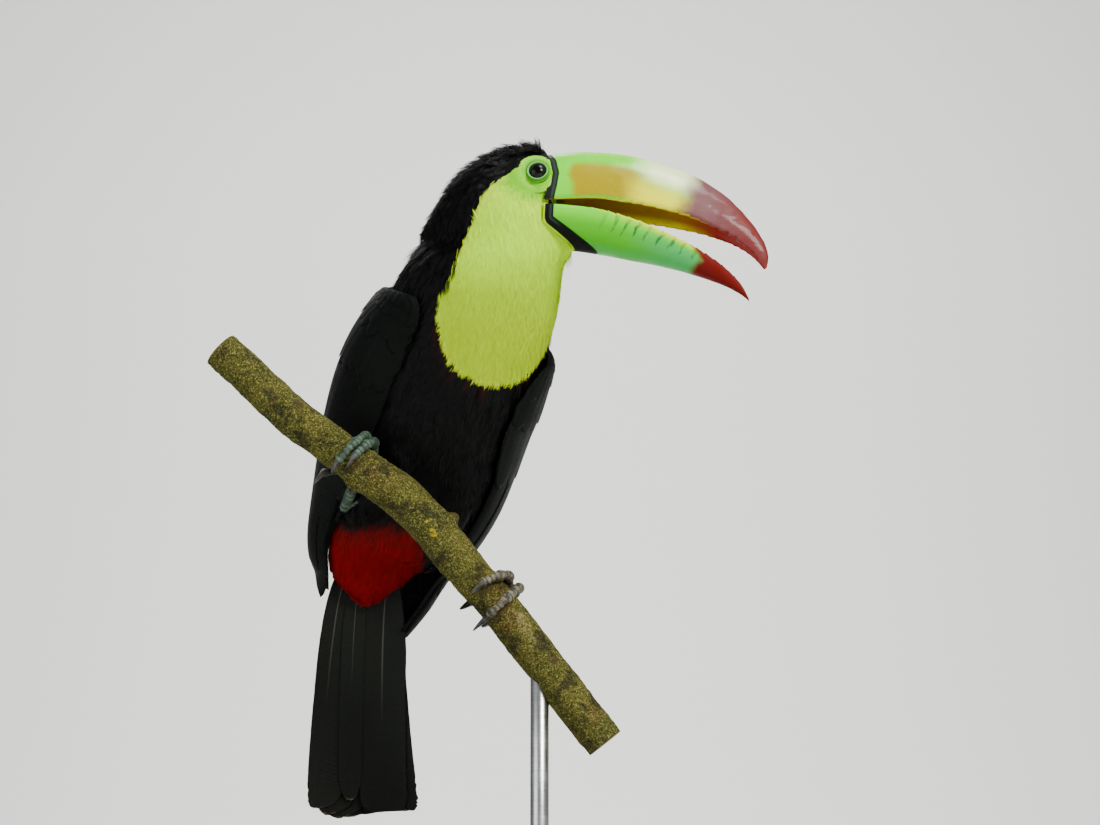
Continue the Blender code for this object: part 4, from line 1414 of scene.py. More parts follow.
@dataclass(frozen=True)
class HornFinish(Finish):
    """The bill: green, orange and yellow with a red tip, a black band at its base and a painted highlight of
    pale cream on the upper half.
    """

    jaw: Jaw = Jaw.UPPER
    green: Colour = (0.135, 0.70, 0.0)
    ridge: Colour = (0.34, 0.80, 0.06)
    # painted highlight: pale cream standing for the glare of light on the upper bill's side
    highlight_cream: Colour = (0.76, 0.94, 0.44)
    low_green: Colour = (0.07, 0.48, 0.0)
    orange: Colour = (0.33, 0.262, 0.0)
    yellow: Colour = (0.78, 0.76, 0.0)
    sea_green: Colour = (0.05, 0.42, 0.09)
    teal: Colour = (0.010, 0.085, 0.035)
    mauve: Colour = (0.135, 0.042, 0.044)
    red: Colour = (0.135, 0.002, 0.0)
    black: Colour = (0.0022, 0.0028, 0.0024)
    slate: Colour = (0.017, 0.030, 0.022)
    palate: Colour = (0.34, 0.19, 0.008)
    deep_red: Colour = (0.30, 0.008, 0.003)
    gape: Colour = (0.15, 0.095, 0.018)
    feathered: Colour = (0.50, 0.74, 0.0)         # where the chin's feathers cover the horn

    def surface(self, graph: Graph, group: Tree) -> Inputs:
        """Return what feeds the shader, from the group for wear."""
        reach, from_band, rise = graph.vector("horn").split()
        place = graph.place()
        reach = reach + (graph.speckle(place, 90, 2) - 0.5) * 6.0
        colour = (self.upper if self.jaw is Jaw.UPPER else self.lower)(graph, reach, rise)
        far = reach.between(58.0, 80.0)
        lining = graph.mix(rise.between(-0.60, -0.52), self.palate, self.yellow)
        colour = graph.mix(rise.between(-0.05, -0.3), colour, graph.mix(far, lining, self.deep_red))
        streak = graph.speckle(graph.stretched(place, (25.0, 300.0, 300.0)), 4.0, 4)
        colour = graph.shade(streak.between(0.5, 0.8) * 0.22, colour, (0.62, 0.6, 0.5))
        in_band = from_band.between(0.3, -0.05)
        band = graph.cover(self.black, (from_band.between(-0.4, -1.0) * reach.between(8.0, 3.5), self.slate),
                           (from_band.between(-1.6, -2.3), self.black))
        colour = graph.cover(colour, (from_band.between(1.6, -0.4) * rise.between(-0.02, -0.12), self.gape),
                             (in_band * rise.between(-0.3, -0.05), band))
        if self.jaw is Jaw.LOWER:
            colour = graph.mix(from_band.between(-3.9, -4.4), colour, self.feathered)
        worn, _ = graph.use(group, {"Place": place, "Scale": 140.0, "Amount": 1.0})
        pits = streak * 0.7 + graph.speckle(place, 1400, 3)
        return {
            "Base Color": colour, "Normal": graph.bump(pits, 0.00012, 0.5),
            "Roughness": worn * 0.22 + self.roughness + in_band * 0.5 + far * 0.3}

    def upper(self, graph: Graph, reach: Value, rise: Value) -> Value:
        """Return the upper half's colour."""
        start = (reach - abs(rise - 0.42) * 9.0).between(6.5, 11.5)
        ending = (reach + rise * 16.0).between(62.0, 47.0)
        patch = start * ending * (rise.between(-0.04, 0.08) * rise.between(0.74, 0.56))
        return graph.cover(
            self.green,
            (rise.between(0.80, 0.99), self.ridge),
            # painted highlight: the pale cream patch in the middle of the upper bill
            (reach.between(36.0, 52.0) * rise.between(0.2, 0.6), self.highlight_cream),
            (patch, self.orange),
            (reach.between(32.0, 48.0) * rise.between(0.62, 0.16), self.yellow),
            ((reach + (1.0 - rise) * 8.0).between(64.0, 76.0), self.mauve),
            (reach.between(76.0, 97.0) * 0.85, self.red))

    def lower(self, graph: Graph, reach: Value, rise: Value) -> Value:
        """Return the lower half's colour, with its dark tooth marks."""
        keel = rise.between(0.15, 0.6) * 0.7 + 0.3
        waves = ((reach + rise * 7.0) * 1.16).math("SINE") - rise * 0.9
        marks = waves.between(0.25, 0.55) * rise.between(0.74, 0.50)
        marks = marks * (reach.between(20.0, 36.0) * rise.between(0.03, 0.08))
        marks = marks * (graph.speckle(graph.place(), 190, 2).between(0.35, 0.6) * 0.6 + 0.25)
        return graph.cover(
            self.green,
            (rise.between(0.1, 0.55), self.low_green),
            (reach.between(32.0, 62.0) * keel, self.sea_green),
            (rise.between(0.8, 1.0) * 0.6, self.sea_green),
            (marks, self.teal),
            (rise.between(0.30, 0.02) * reach.between(20.0, 60.0) * 0.7, self.yellow),
            ((reach + abs(rise - 0.45) * 9.0).between(70.0, 75.0), self.red))


@dataclass
class Eye:
    """An eye with its cornea and iris, in a ring of bare skin and lids."""

    side: int
    head: Head
    skin: Skin
    # Rows of the lids from the eye outwards: radius and height over the ball's middle (mm)
    lid_rows: Table = (
        (4.25, 3.50), (4.33, 3.88), (4.50, 4.20), (4.76, 4.34), (5.04, 4.28), (5.28, 4.06), (5.46, 3.92))
    # Folds farther out: radius and height over the skin (mm)
    fold_rows: Table = (
        (5.65, 0.50), (6.05, 0.72), (6.45, 0.70), (6.80, 0.45), (7.20, 0.28), (7.70, 0.16), (8.40, 0.05),
        (9.20, -0.10), (10.20, -0.50))

    def build(self, name: str, ball: Material, lids: Material) -> None:
        """Make the eye and its lids.

        Args:
            name: left or right.
            ball: The eyeball's material.
            lids: The lids' material.
        """
        centre = self.head.eye_centre(self.side)
        outward = unit(self.head.right * self.side + self.head.up * 0.10 + self.head.forward * 0.02)
        ahead = unit(self.head.forward - outward * float(self.head.forward @ outward))
        above = np.cross(outward, ahead) * self.side
        self.ball(name, centre, outward, ahead, above, ball)
        turns = np.linspace(0, 2 * math.pi, 97)[:-1]
        rows = []
        for radius, height in self.lid_rows:
            ring = [centre + (ahead * math.cos(t) + above * math.sin(t) * 0.94) * radius * MM
                    + outward * height * MM for t in turns]
            rows.append(ring)
        for radius, height in self.fold_rows:
            ring = []
            for t in turns:
                wide = radius * (1 + 0.05 * math.cos(t - 2.6))
                foot = centre + (ahead * math.cos(t) + above * math.sin(t)) * wide * MM
                hit = self.skin.tree.ray_cast(Vector(foot + outward * 20 * MM), Vector(-outward))[0]
                base = np.array(hit) if hit is not None else foot
                limit = centre + outward * 0.5 * MM
                deep = max(float((base - limit) @ outward), 0.0)
                base = foot + outward * (deep + float((limit - foot) @ outward))
                crease = 0.06 * math.sin(t * 22 + radius * 3) * (radius > 6.5)
                ring.append(base + outward * (height + crease) * MM)
            ring = self.skin.stop_at_bill(np.array(ring))
            rows.append(ring)
        rings = np.array(rows)
        folds = rings[len(self.lid_rows):]
        folds[:] = (folds + np.roll(folds, 1, 1) + np.roll(folds, -1, 1)) / 3
        value = np.repeat([radius for radius, _ in self.lid_rows + self.fold_rows], len(turns))
        faces = grid_faces(len(rows), len(turns), True)
        cast = Cast()
        cast.add(rings, faces if self.side > 0 else faces[:, ::-1], fold=value)
        piece = cast.build("lids_" + name, lids)

    def ball(self, name: str, centre: Array, outward: Array, ahead: Array, above: Array,
             finish: Material) -> None:
        """Make the eyeball as a closed globe, a little fuller over the iris."""
        polar = np.linspace(0.0, math.pi, 50)[1:-1, None]
        turn = np.linspace(0, 2 * math.pi, 73)[None, :-1]
        radius = self.head.eye_radius * (1 + 0.03 * ease(0.9, 0.2, polar))
        offset = (np.cos(polar)[..., None] * outward + (np.sin(polar) * np.cos(turn))[..., None] * ahead
                  + (np.sin(polar) * np.sin(turn))[..., None] * above)
        rings = centre + offset * radius[..., None]
        points, faces = tube(rings)
        value = np.concatenate((np.broadcast_to(polar, rings.shape[:2]).ravel(), [0.0, math.pi]))
        cast = Cast()
        cast.add(points, faces if self.side < 0 else faces[:, ::-1], polar=value)
        piece = cast.build("eyeball_" + name, finish)
        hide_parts("eye_" + name)


@dataclass(frozen=True)
class EyeFinish(Finish):
    """A dark wet eye."""

    pupil: Colour = (0.002, 0.002, 0.002)
    iris: Colour = (0.013, 0.014, 0.007)
    rim: Colour = (0.005, 0.006, 0.004)

    def surface(self, graph: Graph, group: Tree | None) -> Inputs:
        """Return what feeds the shader."""
        polar = graph.number("polar")
        iris = graph.mix(graph.speckle(graph.place(), 1500, 3), self.rim, self.iris)
        colour = graph.cover(self.pupil, (polar.between(0.36, 0.44), iris),
                             (polar.between(0.72, 0.82), self.rim))
        return {"Base Color": colour}


@dataclass(frozen=True)
class LidFinish(Finish):
    """Bare lime skin with a pale ring at the lids' edge, a painted shadow where the lids meet the eye and
    painted shade in the groove round them.
    """

    # painted shadow: dark where the lids meet the eyeball
    lid_shadow: Colour = (0.01, 0.02, 0.01)
    ring: Colour = (0.16, 0.52, 0.15)
    # painted shade: a darker green ring in the groove round the lids
    groove: Colour = (0.045, 0.24, 0.004)
    lime: Colour = (0.18, 0.58, 0.0)
    outer: Colour = (0.24, 0.64, 0.0)

    def surface(self, graph: Graph, group: Tree) -> Inputs:
        """Return what feeds the shader, from the group for wear."""
        fold, place = graph.number("fold"), graph.place()
        # painted shadow inside the lids' edge, then the ring and the bare skin outwards
        colour = graph.cover(
            self.lid_shadow, (fold.between(4.27, 4.38), self.ring), (fold.between(4.8, 5.15), self.groove),
            (fold.between(5.4, 6.0), self.lime), (fold.between(6.9, 8.4), self.outer))
        worn, _ = graph.use(group, {"Place": place, "Scale": 300.0, "Amount": 0.5})
        return {"Base Color": graph.shade(worn, colour, (0.7, 0.75, 0.5)),
                "Normal": graph.bump(graph.cells(place, 1500.0), 0.00012, 0.5)}


# -------------------------------------------------------------------------- branch, feet and stand

@dataclass
class Perch:
    """A cut length of branch, with swellings, a torn lip, scars and the stump of a twig."""

    # The middle line (x, z, in mm) and the thickness there, of the radius
    rows: Table = (
        (-112, 272.8, 0.98), (-94, 256.2, 1.00), (-78, 241.2, 1.02), (-62, 228.8, 1.00), (-47, 217.8, 1.00),
        (-35, 209.0, 1.06), (-23.4, 200.6, 1.10), (-13, 190.6, 1.06), (-3.5, 179.6, 1.06), (5, 169.4, 1.08),
        (13.5, 159.4, 1.02), (24.3, 147.0, 1.00), (35, 133.6, 1.02), (45.2, 120.6, 1.00), (60, 101.4, 1.02),
        (76.5, 80.4, 0.99),
    )
    y: float = -36.5 * MM
    radius: float = 9.6 * MM
    rings: int = 380
    sides: int = 110
    # Bumps: place along X (mm), angle (degrees, 0 on the upper side and 90 towards -Y), size along the
    # branch and round it (mm), and height (mm)
    bumps: Table = (
        (-40.5, 172, 4.5, 4.0, 2.0), (-36.0, 150, 7.0, 3.0, 0.9), (-5.5, 0, 3.1, 3.3, 4.1),
        (-9.5, 20, 5.0, 4.0, 0.8), (4.0, 30, 4.0, 3.0, 0.5), (-76.0, 60, 4.0, 3.0, 0.7),
        (19.0, 60, 2.6, 9.0, 0.7), (27.0, 100, 2.0, 8.0, 0.6), (40.0, 40, 5.0, 4.0, -0.5),
        (62.0, 110, 4.0, 3.0, 0.6))
    # Patches: place along X (mm), angle, size along the branch and round it (mm), and tone: 1 for bare
    # wood, -1 for a brown stain and 2 for lichen
    patches: Table = (
        (33.0, 62, 6.0, 4.0, 0.75), (39.0, 70, 8.0, 2.6, 0.6), (-5.5, 0, 3.6, 3.8, -0.9),
        (19.0, 80, 2.2, 8.0, -0.9), (27.0, 105, 2.0, 8.0, -0.8), (48.0, 60, 3.0, 3.0, -1.0),
        (-44.0, 95, 5.0, 4.0, -0.6), (-76.0, 60, 4.0, 3.0, -0.8), (-5.2, 98, 2.6, 1.8, 2.0),
        (-9.6, 92, 1.3, 1.2, 2.0))

    def frame_at(self, x: Array) -> tuple[Array, Array, Array]:
        """Return the branch's middles, directions and radii where it passes x, in metres."""
        table = np.array(self.rows) * [MM, MM, self.radius]
        place = np.linspace(0, len(self.rows) - 1, 3000)
        read = read_along(table, place)
        slope = np.gradient(read, axis=0)
        x = np.asarray(x, float)
        columns = read[:, 1], slope[:, 0], slope[:, 1], read[:, 2]
        z, dx, dz, radius = (np.interp(x, read[:, 0], column) for column in columns)
        centre = np.stack((x, np.full_like(x, self.y), z), -1)
        axis = unit(np.stack((dx, np.zeros_like(dx), dz), -1))
        return centre, axis, radius

    def round_it(self, x: float, degrees: Array, distance: Array, shift: Array = 0.0) -> Array:
        """Return points round the branch at x.

        Args:
            x: Where the branch is met.
            degrees: 0 on its upper side, 90 towards -Y, 180 underneath.
            distance: Distance from its middle line.
            shift: How far along the branch.

        Returns:
            The points.
        """
        centre, axis, _ = self.frame_at(np.array(x))
        degrees, distance, shift = np.broadcast_arrays(degrees, distance, shift)
        return centre + axis * shift[..., None] + self.ways(axis, degrees) * distance[..., None]

    @staticmethod
    def ways(axis: Array, degrees: Array) -> Array:
        """Return directions out of the branch: 0 degrees on its upper side, 90 towards -Y."""
        upper = np.stack((-axis[..., 2], np.zeros(axis.shape[:-1]), axis[..., 0]), -1)
        turn = np.radians(degrees)[..., None]
        return upper * np.cos(turn) + np.array([0.0, -1.0, 0.0]) * np.sin(turn)

    def build(self, bark: Material, sawn: Material) -> None:
        """Make the branch and its two sawn faces.

        Args:
            bark: The bark's material.
            sawn: The sawn ends' material.
        """
        span = np.array([self.rows[0][0], self.rows[-1][0]]) * MM
        x = np.linspace(span[0] + 0.1 * MM, span[1] - 0.1 * MM, self.rings)
        centre, axis, radius = self.frame_at(x)
        degrees = np.arange(self.sides) * 360 / self.sides
        way = self.ways(axis[:, None], degrees)
        base = centre[:, None] + way * radius[:, None, None]
        height = 0.55 * noise_at(base, 11 * MM, 4) + 0.20 * noise_at(base + 1.0, 2.2 * MM, 3)
        cracks = noise_at(base + 3.0, 5 * MM, 2)
        height -= 0.35 * ease(0.10, 0.0, np.abs(cracks)) * ease(-0.1, 0.4, noise_at(base + 9.0, 22 * MM, 2))

        def spot(at: float, angle: float, along: float, across: float) -> Array:
            """Return a round spot on the bark, 1 in its middle and 0 outside it."""
            du = (x[:, None] / MM - at) / np.maximum(np.abs(axis[:, 0]), 0.4)[:, None] / along
            turned = (degrees[None, :] - angle + 180) % 360 - 180
            dv = turned * math.pi / 180 * radius[:, None] / MM / across
            return np.exp(-(du**2 + dv**2) ** 1.4)

        for *where, rise in self.bumps:
            height += rise * spot(*where)
        fade = ease(0, 1.2 * MM, x - span[0])[:, None] * ease(0, 1.2 * MM, span[1] - x)[:, None]
        rings = base + way * ((height * (0.25 + 0.75 * fade) - 0.1) * MM)[..., None]
        cast = Cast()
        faces = grid_faces(self.rings, self.sides, True)
        stain, lichen = np.zeros_like(height), np.zeros_like(height)
        for *where, tone in self.patches:
            if tone > 1:
                lichen += spot(*where)
            else:
                stain += spot(*where) * tone
        value = np.stack((height, stain, lichen), -1)
        cast.add(rings, faces[:, ::-1], bark=value)
        piece = cast.build("branch_bark", bark)
        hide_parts("perch")
        ends = Cast()
        shares = np.linspace(1.0, 0.0, 24)[:-1]
        for i, sign in ((0, -1), (-1, 1)):
            rim = rings[i]
            middle = rim.mean(axis=0)
            rough = 0.10 * MM * sign
            rows = np.stack([middle + (rim - middle) * s
                             + axis[i] * rough * (1 + math.sin(s * 9)) * (s < 0.99) for s in shares])
            points = np.concatenate((rows.reshape(-1, 3), [middle]))
            quads = grid_faces(len(shares), self.sides, True)
            j = np.arange(self.sides)
            last = (len(shares) - 1) * self.sides
            middles = np.full(self.sides, last + self.sides)
            fan = np.stack((last + j, last + (j + 1) % self.sides, middles), 1)
            tris = np.concatenate((quads[:, [0, 1, 2]], quads[:, [0, 2, 3]], fan))
            share = np.concatenate((np.repeat(shares, self.sides), [0.0]))
            ends.add(points, tris if sign < 0 else tris[:, ::-1], ring=share)
        ends.build("branch_sawn_ends", sawn)


@dataclass(frozen=True)
class ToeForm:
    """A toe round the branch: its angles, its shifts along the branch (mm) and its claw's end."""

    start: float
    end: float
    shift_start: float
    shift_end: float
    claw_end: float
    claw_out: float


@dataclass
class Leg:
    """A scaled shank and foot that grips the branch, two toes before and two behind."""

    perch: Perch
    foot_x: float
    heel: Triple
    toes: tuple[ToeForm, ...]
    shank_radius: float = 2.9 * MM
    toe_radius: float = 2.7 * MM
    claw_radius: float = 1.75 * MM
    ankle_turn: float = -44.0
    seat: float = 1.12
    gap: float = 0.35 * MM
    scute: float = 2.3 * MM            # length of one scale
    scute_depth: float = 0.55 * MM
    pad: float = 1.9 * MM              # length of one pad underneath
    rings: int = 240
    sides: int = 28
    claw_rings: int = 26
    claw_sides: int = 16

    def limb(self, path: Array, radii: Array, hint: Array, seed: int, cast: Cast) -> None:
        """Add a scaled limb.

        Args:
            path: Its middle line.
            radii: Its radii.
            hint: The side that its scutes lie on.
            seed: Number that sets its small differences.
            cast: What it is added to.
        """
        rng = np.random.default_rng(seed)
        share = np.linspace(0, len(path) - 1, self.rings)
        middle = read_along(path, share)
        radius = read_along(radii[:, None], share)[:, 0]
        run = np.concatenate(([0], np.cumsum(np.linalg.norm(np.diff(middle, axis=0), axis=1))))
        _, side, up = path_frames(middle, hint)
        turn = full_turn(self.sides)
        number = run / self.scute + rng.uniform(0, 1)
        step = number % 1.0
        size = 0.8 + 0.2 * np.sin(np.floor(number) * 2.6)
        plate = (0.25 + 0.75 * np.sqrt(np.clip(1 - (2 * step - 1) ** 2, 0, 1)))[:, None] * size[:, None]
        over = ease(-0.25, 0.35, np.cos(turn))[None, :]
        pads = (0.5 + 0.5 * np.abs(np.sin(run / self.pad * math.pi)))[:, None]
        pads = pads * ease(0.1, 0.8, -np.cos(turn))[None, :]
        relief = plate * over * self.scute_depth + pads * 0.18 * MM
        way = side[:, None] * np.cos(turn)[None, :, None] + up[:, None] * np.sin(turn)[None, :, None]
        flat = 1 - 0.10 * (np.abs(np.sin(turn)) ** 2)[None, :]
        rings = middle[:, None] + way * (radius[:, None] * flat + relief - 0.12 * MM)[..., None]
        points, faces = tube(rings)
        value = np.stack(np.broadcast_arrays(step[:, None], over, rng.random() + 0 * relief), -1)
        value = np.concatenate((value.reshape(-1, 3), value[[0, -1]].mean(axis=1)))
        cast.add(points, faces, scute=value)

    def build(self, name: str, skin: Material, horn: Material) -> None:
        """Make the leg and its claws.

        Args:
            name: left or right.
            skin: The scaled skin's material.
            horn: The claws' material.
        """
        cast, claws = Cast(), Cast()
        _, axis, radius = self.perch.frame_at(np.array(self.foot_x))
        bark = float(radius) + self.gap
        heel = np.array(self.heel)
        ankle = self.perch.round_it(self.foot_x, np.array(self.ankle_turn), bark + self.toe_radius * 1.35)
        bend = (heel + ankle) / 2 + [0, 1.0 * MM, 0]
        low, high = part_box("thigh_" + name)
        swell = np.array([0.25, 0.58, 0.92, 0.96, 0.98, 1.18])
        shank = read_along(np.stack((heel, bend, ankle)), np.linspace(0, 2, 5))
        shank = np.concatenate(([heel + unit((np.array(low) + high) / 2 - heel) * 9 * MM], shank))
        front = np.array([0.3, -1.0, 0.2])
        self.limb(shank, self.shank_radius * swell, front, 3, cast)
        pad = np.stack((ankle - axis * self.toe_radius * 1.1, ankle, ankle + axis * self.toe_radius * 1.1))
        upward = ankle - self.perch.frame_at(np.array(self.foot_x))[0]
        self.limb(pad, self.toe_radius * np.array([0.7, 1.45, 0.7]), upward, 4, cast)
        for number, toe in enumerate(self.toes):
            share = np.linspace(0, 1, 13)
            degrees = toe.start + (toe.end - toe.start) * share
            shift = (toe.shift_start + (toe.shift_end - toe.shift_start) * share) * MM
            path = self.perch.round_it(self.foot_x, degrees, bark + self.toe_radius * self.seat, shift)
            knuckles = 1 + 0.17 * np.cos(share * 6 * math.pi)
            outward = path[0] - self.perch.frame_at(np.array(self.foot_x))[0]
            self.limb(path, self.toe_radius * (1 - 0.25 * share) * knuckles, outward, 10 + number, cast)
            self.claw(toe, bark, claws)
        piece = cast.build("foot_scales_" + name, skin)
        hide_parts("leg_" + name)
        claws.build("claws_" + name, horn)

    def claw(self, toe: ToeForm, bark: float, cast: Cast) -> None:
        """Add a toe's claw."""
        share = np.linspace(-0.12, 1, self.claw_rings)
        degrees = toe.end + (toe.claw_end - toe.end) * share
        out = np.where(share > 0, toe.claw_out * MM * share**2, 0)
        distance = bark + self.toe_radius * (self.seat - 0.2 * share) + out
        shift = np.full(self.claw_rings, toe.shift_end * MM)
        path = self.perch.round_it(self.foot_x, degrees, distance, shift)
        radius = self.claw_radius * 1.12 * np.clip(1 - share, 0, 1.1) ** 0.62 + 0.20 * MM
        _, side, up = path_frames(path, path[0] - self.perch.frame_at(np.array(self.foot_x))[0])
        turn = full_turn(self.claw_sides)
        way = (side[:, None] * np.cos(turn)[None, :, None] * 1.12
               + up[:, None] * np.sin(turn)[None, :, None] * 0.82)
        points, faces = tube(path[:, None] + way * radius[:, None, None])
        value = np.concatenate((np.repeat(share, self.claw_sides), [0, 1]))
        cast.add(points, faces, claw=value)


@dataclass
class Stand:
    """A round wooden base and a flanged steel rod that goes up into the branch."""

    perch: Perch
    rod_radius: float = 4.5 * MM
    sides: int = 128

    def turned(self, name: str, node: str, profile: list[tuple[float, float]], centre: tuple[float, float],
               finish: Material, slot: str) -> None:
        """Make a turned piece.

        Args:
            name: The piece's name.
            node: The node that it stands for.
            profile: Radius and height, from the underside to the top.
            centre: X and Y of its axis.
            finish: Its material.
            slot: Not used.
        """
        turn = full_turn(self.sides)
        rings = np.stack([np.stack((centre[0] + r * np.cos(turn), centre[1] + r * np.sin(turn),
                                    np.full(self.sides, z)), 1) for r, z in profile])
        points, faces = tube(rings)
        cast = Cast()
        cast.add(points, faces)
        piece = cast.build(name, finish)
        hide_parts(node)

    @staticmethod
    def arc(radius: float, height: float, size: float, start: float, end: float,
            count: int) -> list[tuple[float, float]]:
        """Return a rounded corner of a profile, between two angles in degrees."""
        angles = np.radians(np.linspace(start, end, count))
        return [(radius + size * math.cos(a), height + size * math.sin(a)) for a in angles]

    def build(self, wood: Material, steel: Material) -> None:
        """Make the stand.

        Args:
            wood: The base's material.
            steel: The rod's material.
        """
        low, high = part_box("stand_base")
        width, top = high.x, high.z
        profile = self.arc(width - 1.5 * MM, 1.5 * MM, 1.5 * MM, -90, 0, 6)
        profile += self.arc(width - 4 * MM, top - 4 * MM, 4 * MM, 0, 90, 12)
        groove = (8, 0), (8.6, 0.5), (9.4, 0.5), (10, 0)
        profile += [(width - at * MM, top - deep * MM) for at, deep in groove]
        profile += [(r * MM, top) for r in (70, 50, 30, 14, 4)]
        self.turned("stand_base_wood", "stand_base", profile, (0.0, 0.0), wood, "stand_wood")
        low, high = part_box("stand_rod")
        centre = ((low.x + high.x) / 2, (low.y + high.y) / 2)
        flange = (high.x - low.x) / 2
        foot = low.z
        step = foot + 4 * MM
        rod = [(flange, foot)] + self.arc(flange - 1.2 * MM, step - 1.2 * MM, 1.2 * MM, 0, 90, 6)
        rod += [(self.rod_radius + 2.2 * MM, step)]
        rod += self.arc(self.rod_radius + 2.2 * MM, step + 2.2 * MM, -2.2 * MM, 90, 0, 8)[1:]
        rod += [(self.rod_radius, high.z - 0.4 * MM), (self.rod_radius - 0.4 * MM, high.z)]
        self.turned("stand_rod_steel", "stand_rod", rod, centre, steel, "stand_steel")


@dataclass(frozen=True)
class BarkFinish(Finish):
    """Mottled olive and ochre bark with dark specks, fleece and lichen, and painted shade in its cracks and
    hollows.
    """

    olive: Colour = (0.040, 0.039, 0.006)
    ochre: Colour = (0.078, 0.069, 0.011)
    pale: Colour = (0.35, 0.335, 0.085)
    moss: Colour = (0.040, 0.047, 0.004)
    rust: Colour = (0.075, 0.046, 0.010)
    # for dark specks, and for the painted shade in the bark's cracks
    dark: Colour = (0.009, 0.008, 0.006)
    lichen: Colour = (0.46, 0.34, 0.012)
    wood: Colour = (0.24, 0.205, 0.085)
    brown: Colour = (0.045, 0.026, 0.011)

    def surface(self, graph: Graph, group: Tree) -> Inputs:
        """Return what feeds the shader, from the group for wear."""
        place = graph.place()
        relief, stain, crust = graph.vector("bark").split()
        middle, fine = graph.speckle(place, 360, 5, 0.75), graph.speckle(place, 1050, 4, 0.9)
        broken = graph.speckle(place, 600, 3, 0.8).between(0.44, 0.58) * 0.8
        _, dust = graph.use(group, {"Place": place, "Scale": 90.0, "Amount": 0.5})
        colour = graph.cover(
            self.olive,
            (graph.speckle(place, 55, 3).between(0.38, 0.62), self.ochre),
            (graph.speckle(place, 35, 2).between(0.55, 0.7), self.rust),
            (middle.between(0.50, 0.62) * 0.8, self.moss),
            (fine.between(0.52, 0.60) * 0.8, self.pale),
            (graph.speckle(place, 1150, 4, 0.9).between(0.52, 0.57) * 0.85, self.dark),
            (graph.speckle(place, 130, 4, 0.7).between(0.60, 0.68) * 0.7, self.dark),
            (stain.between(0.2, 0.8) * broken, self.wood),
            (stain.between(-0.2, -0.8) * 0.7, self.brown),
            (crust.between(0.25, 0.6) * broken, self.lichen),
            # painted shade: darker where the bark's relief sinks into cracks and hollows
            (relief.between(-0.05, -0.35) * 0.7, self.dark),
            (dust * 0.5, self.pale))
        return {"Base Color": colour, "Normal": graph.bump(middle + fine * 0.6, 0.0007, 0.9)}


@dataclass(frozen=True)
class SawnFinish(Finish):
    """A sawn end: pale wood with year rings under a dark rim of bark."""

    pale: Colour = (0.50, 0.34, 0.17)
    ring: Colour = (0.30, 0.17, 0.07)
    rim: Colour = (0.07, 0.05, 0.025)

    def surface(self, graph: Graph, group: Tree | None) -> Inputs:
        """Return what feeds the shader."""
        share, place = graph.number("ring"), graph.place()
        rings = ((share + graph.speckle(place, 180, 3) * 0.12) * 62.0).math("SINE")
        colour = graph.cover(self.pale, (rings.between(0.1, 0.9), self.ring),
                             (share.between(0.86, 0.90), self.rim), (share.between(0.10, 0.05), self.ring))
        grain = graph.speckle(place, 1200, 3)
        return {"Base Color": colour, "Normal": graph.bump(grain, 0.0002, 0.5)}


@dataclass(frozen=True)
class ScaleFinish(Finish):
    """Scaled skin of the feet: dark between the scales, pale where they rub."""

    skin: Colour = (0.013, 0.040, 0.023)
    pale: Colour = (0.068, 0.118, 0.072)
    groove: Colour = (0.002, 0.005, 0.004)
    grime: Colour = (0.06, 0.05, 0.02)
    dirt: float = 0.3

    def surface(self, graph: Graph, group: Tree) -> Inputs:
        """Return what feeds the shader, from the group for wear."""
        step, over, _ = graph.vector("scute").split()
        place = graph.place()
        small = graph.cells(place, 1000.0, "DISTANCE_TO_EDGE")
        seam = step.between(0.24, 0.08).math("MAXIMUM", step.between(0.80, 0.94))
        net = small.between(0.10, 0.02) * (1.0 - over)
        worn, _ = graph.use(group, {"Place": place, "Scale": 220.0, "Amount": 1.0})
        colour = graph.cover(self.skin, (graph.speckle(place, 300, 4).between(0.42, 0.60), self.pale),
                             (seam * 0.95, self.groove), (net * 0.7, self.groove),
                             (worn * self.dirt, self.grime))
        return {"Base Color": colour, "Normal": graph.bump(small, 0.00025, 0.6)}


@dataclass(frozen=True)
class PlainFinish(Finish):
    """Wood, steel or claw: two colours in streaks, with wear."""

    main: Colour = (0.5, 0.5, 0.5)
    second: Colour = (0.4, 0.4, 0.4)
    stretch: Triple = (1.0, 1.0, 1.0)
    scale: float = 60.0
    relief: float = 0.0001
    wear_lift: float = 0.15

    def surface(self, graph: Graph, group: Tree) -> Inputs:
        """Return what feeds the shader, from the group for wear."""
        place = graph.place()
        streaks = graph.speckle(graph.stretched(place, self.stretch), self.scale, 6, 0.65)
        worn, _ = graph.use(group, {"Place": place, "Scale": 70.0, "Amount": 1.0})
        return {"Base Color": graph.mix(streaks.between(0.35, 0.68), self.main, self.second),
                "Roughness": worn * self.wear_lift + self.roughness,
                "Normal": graph.bump(streaks, self.relief, 0.6)}


# ----------------------------------------------------------------------------------- room and main

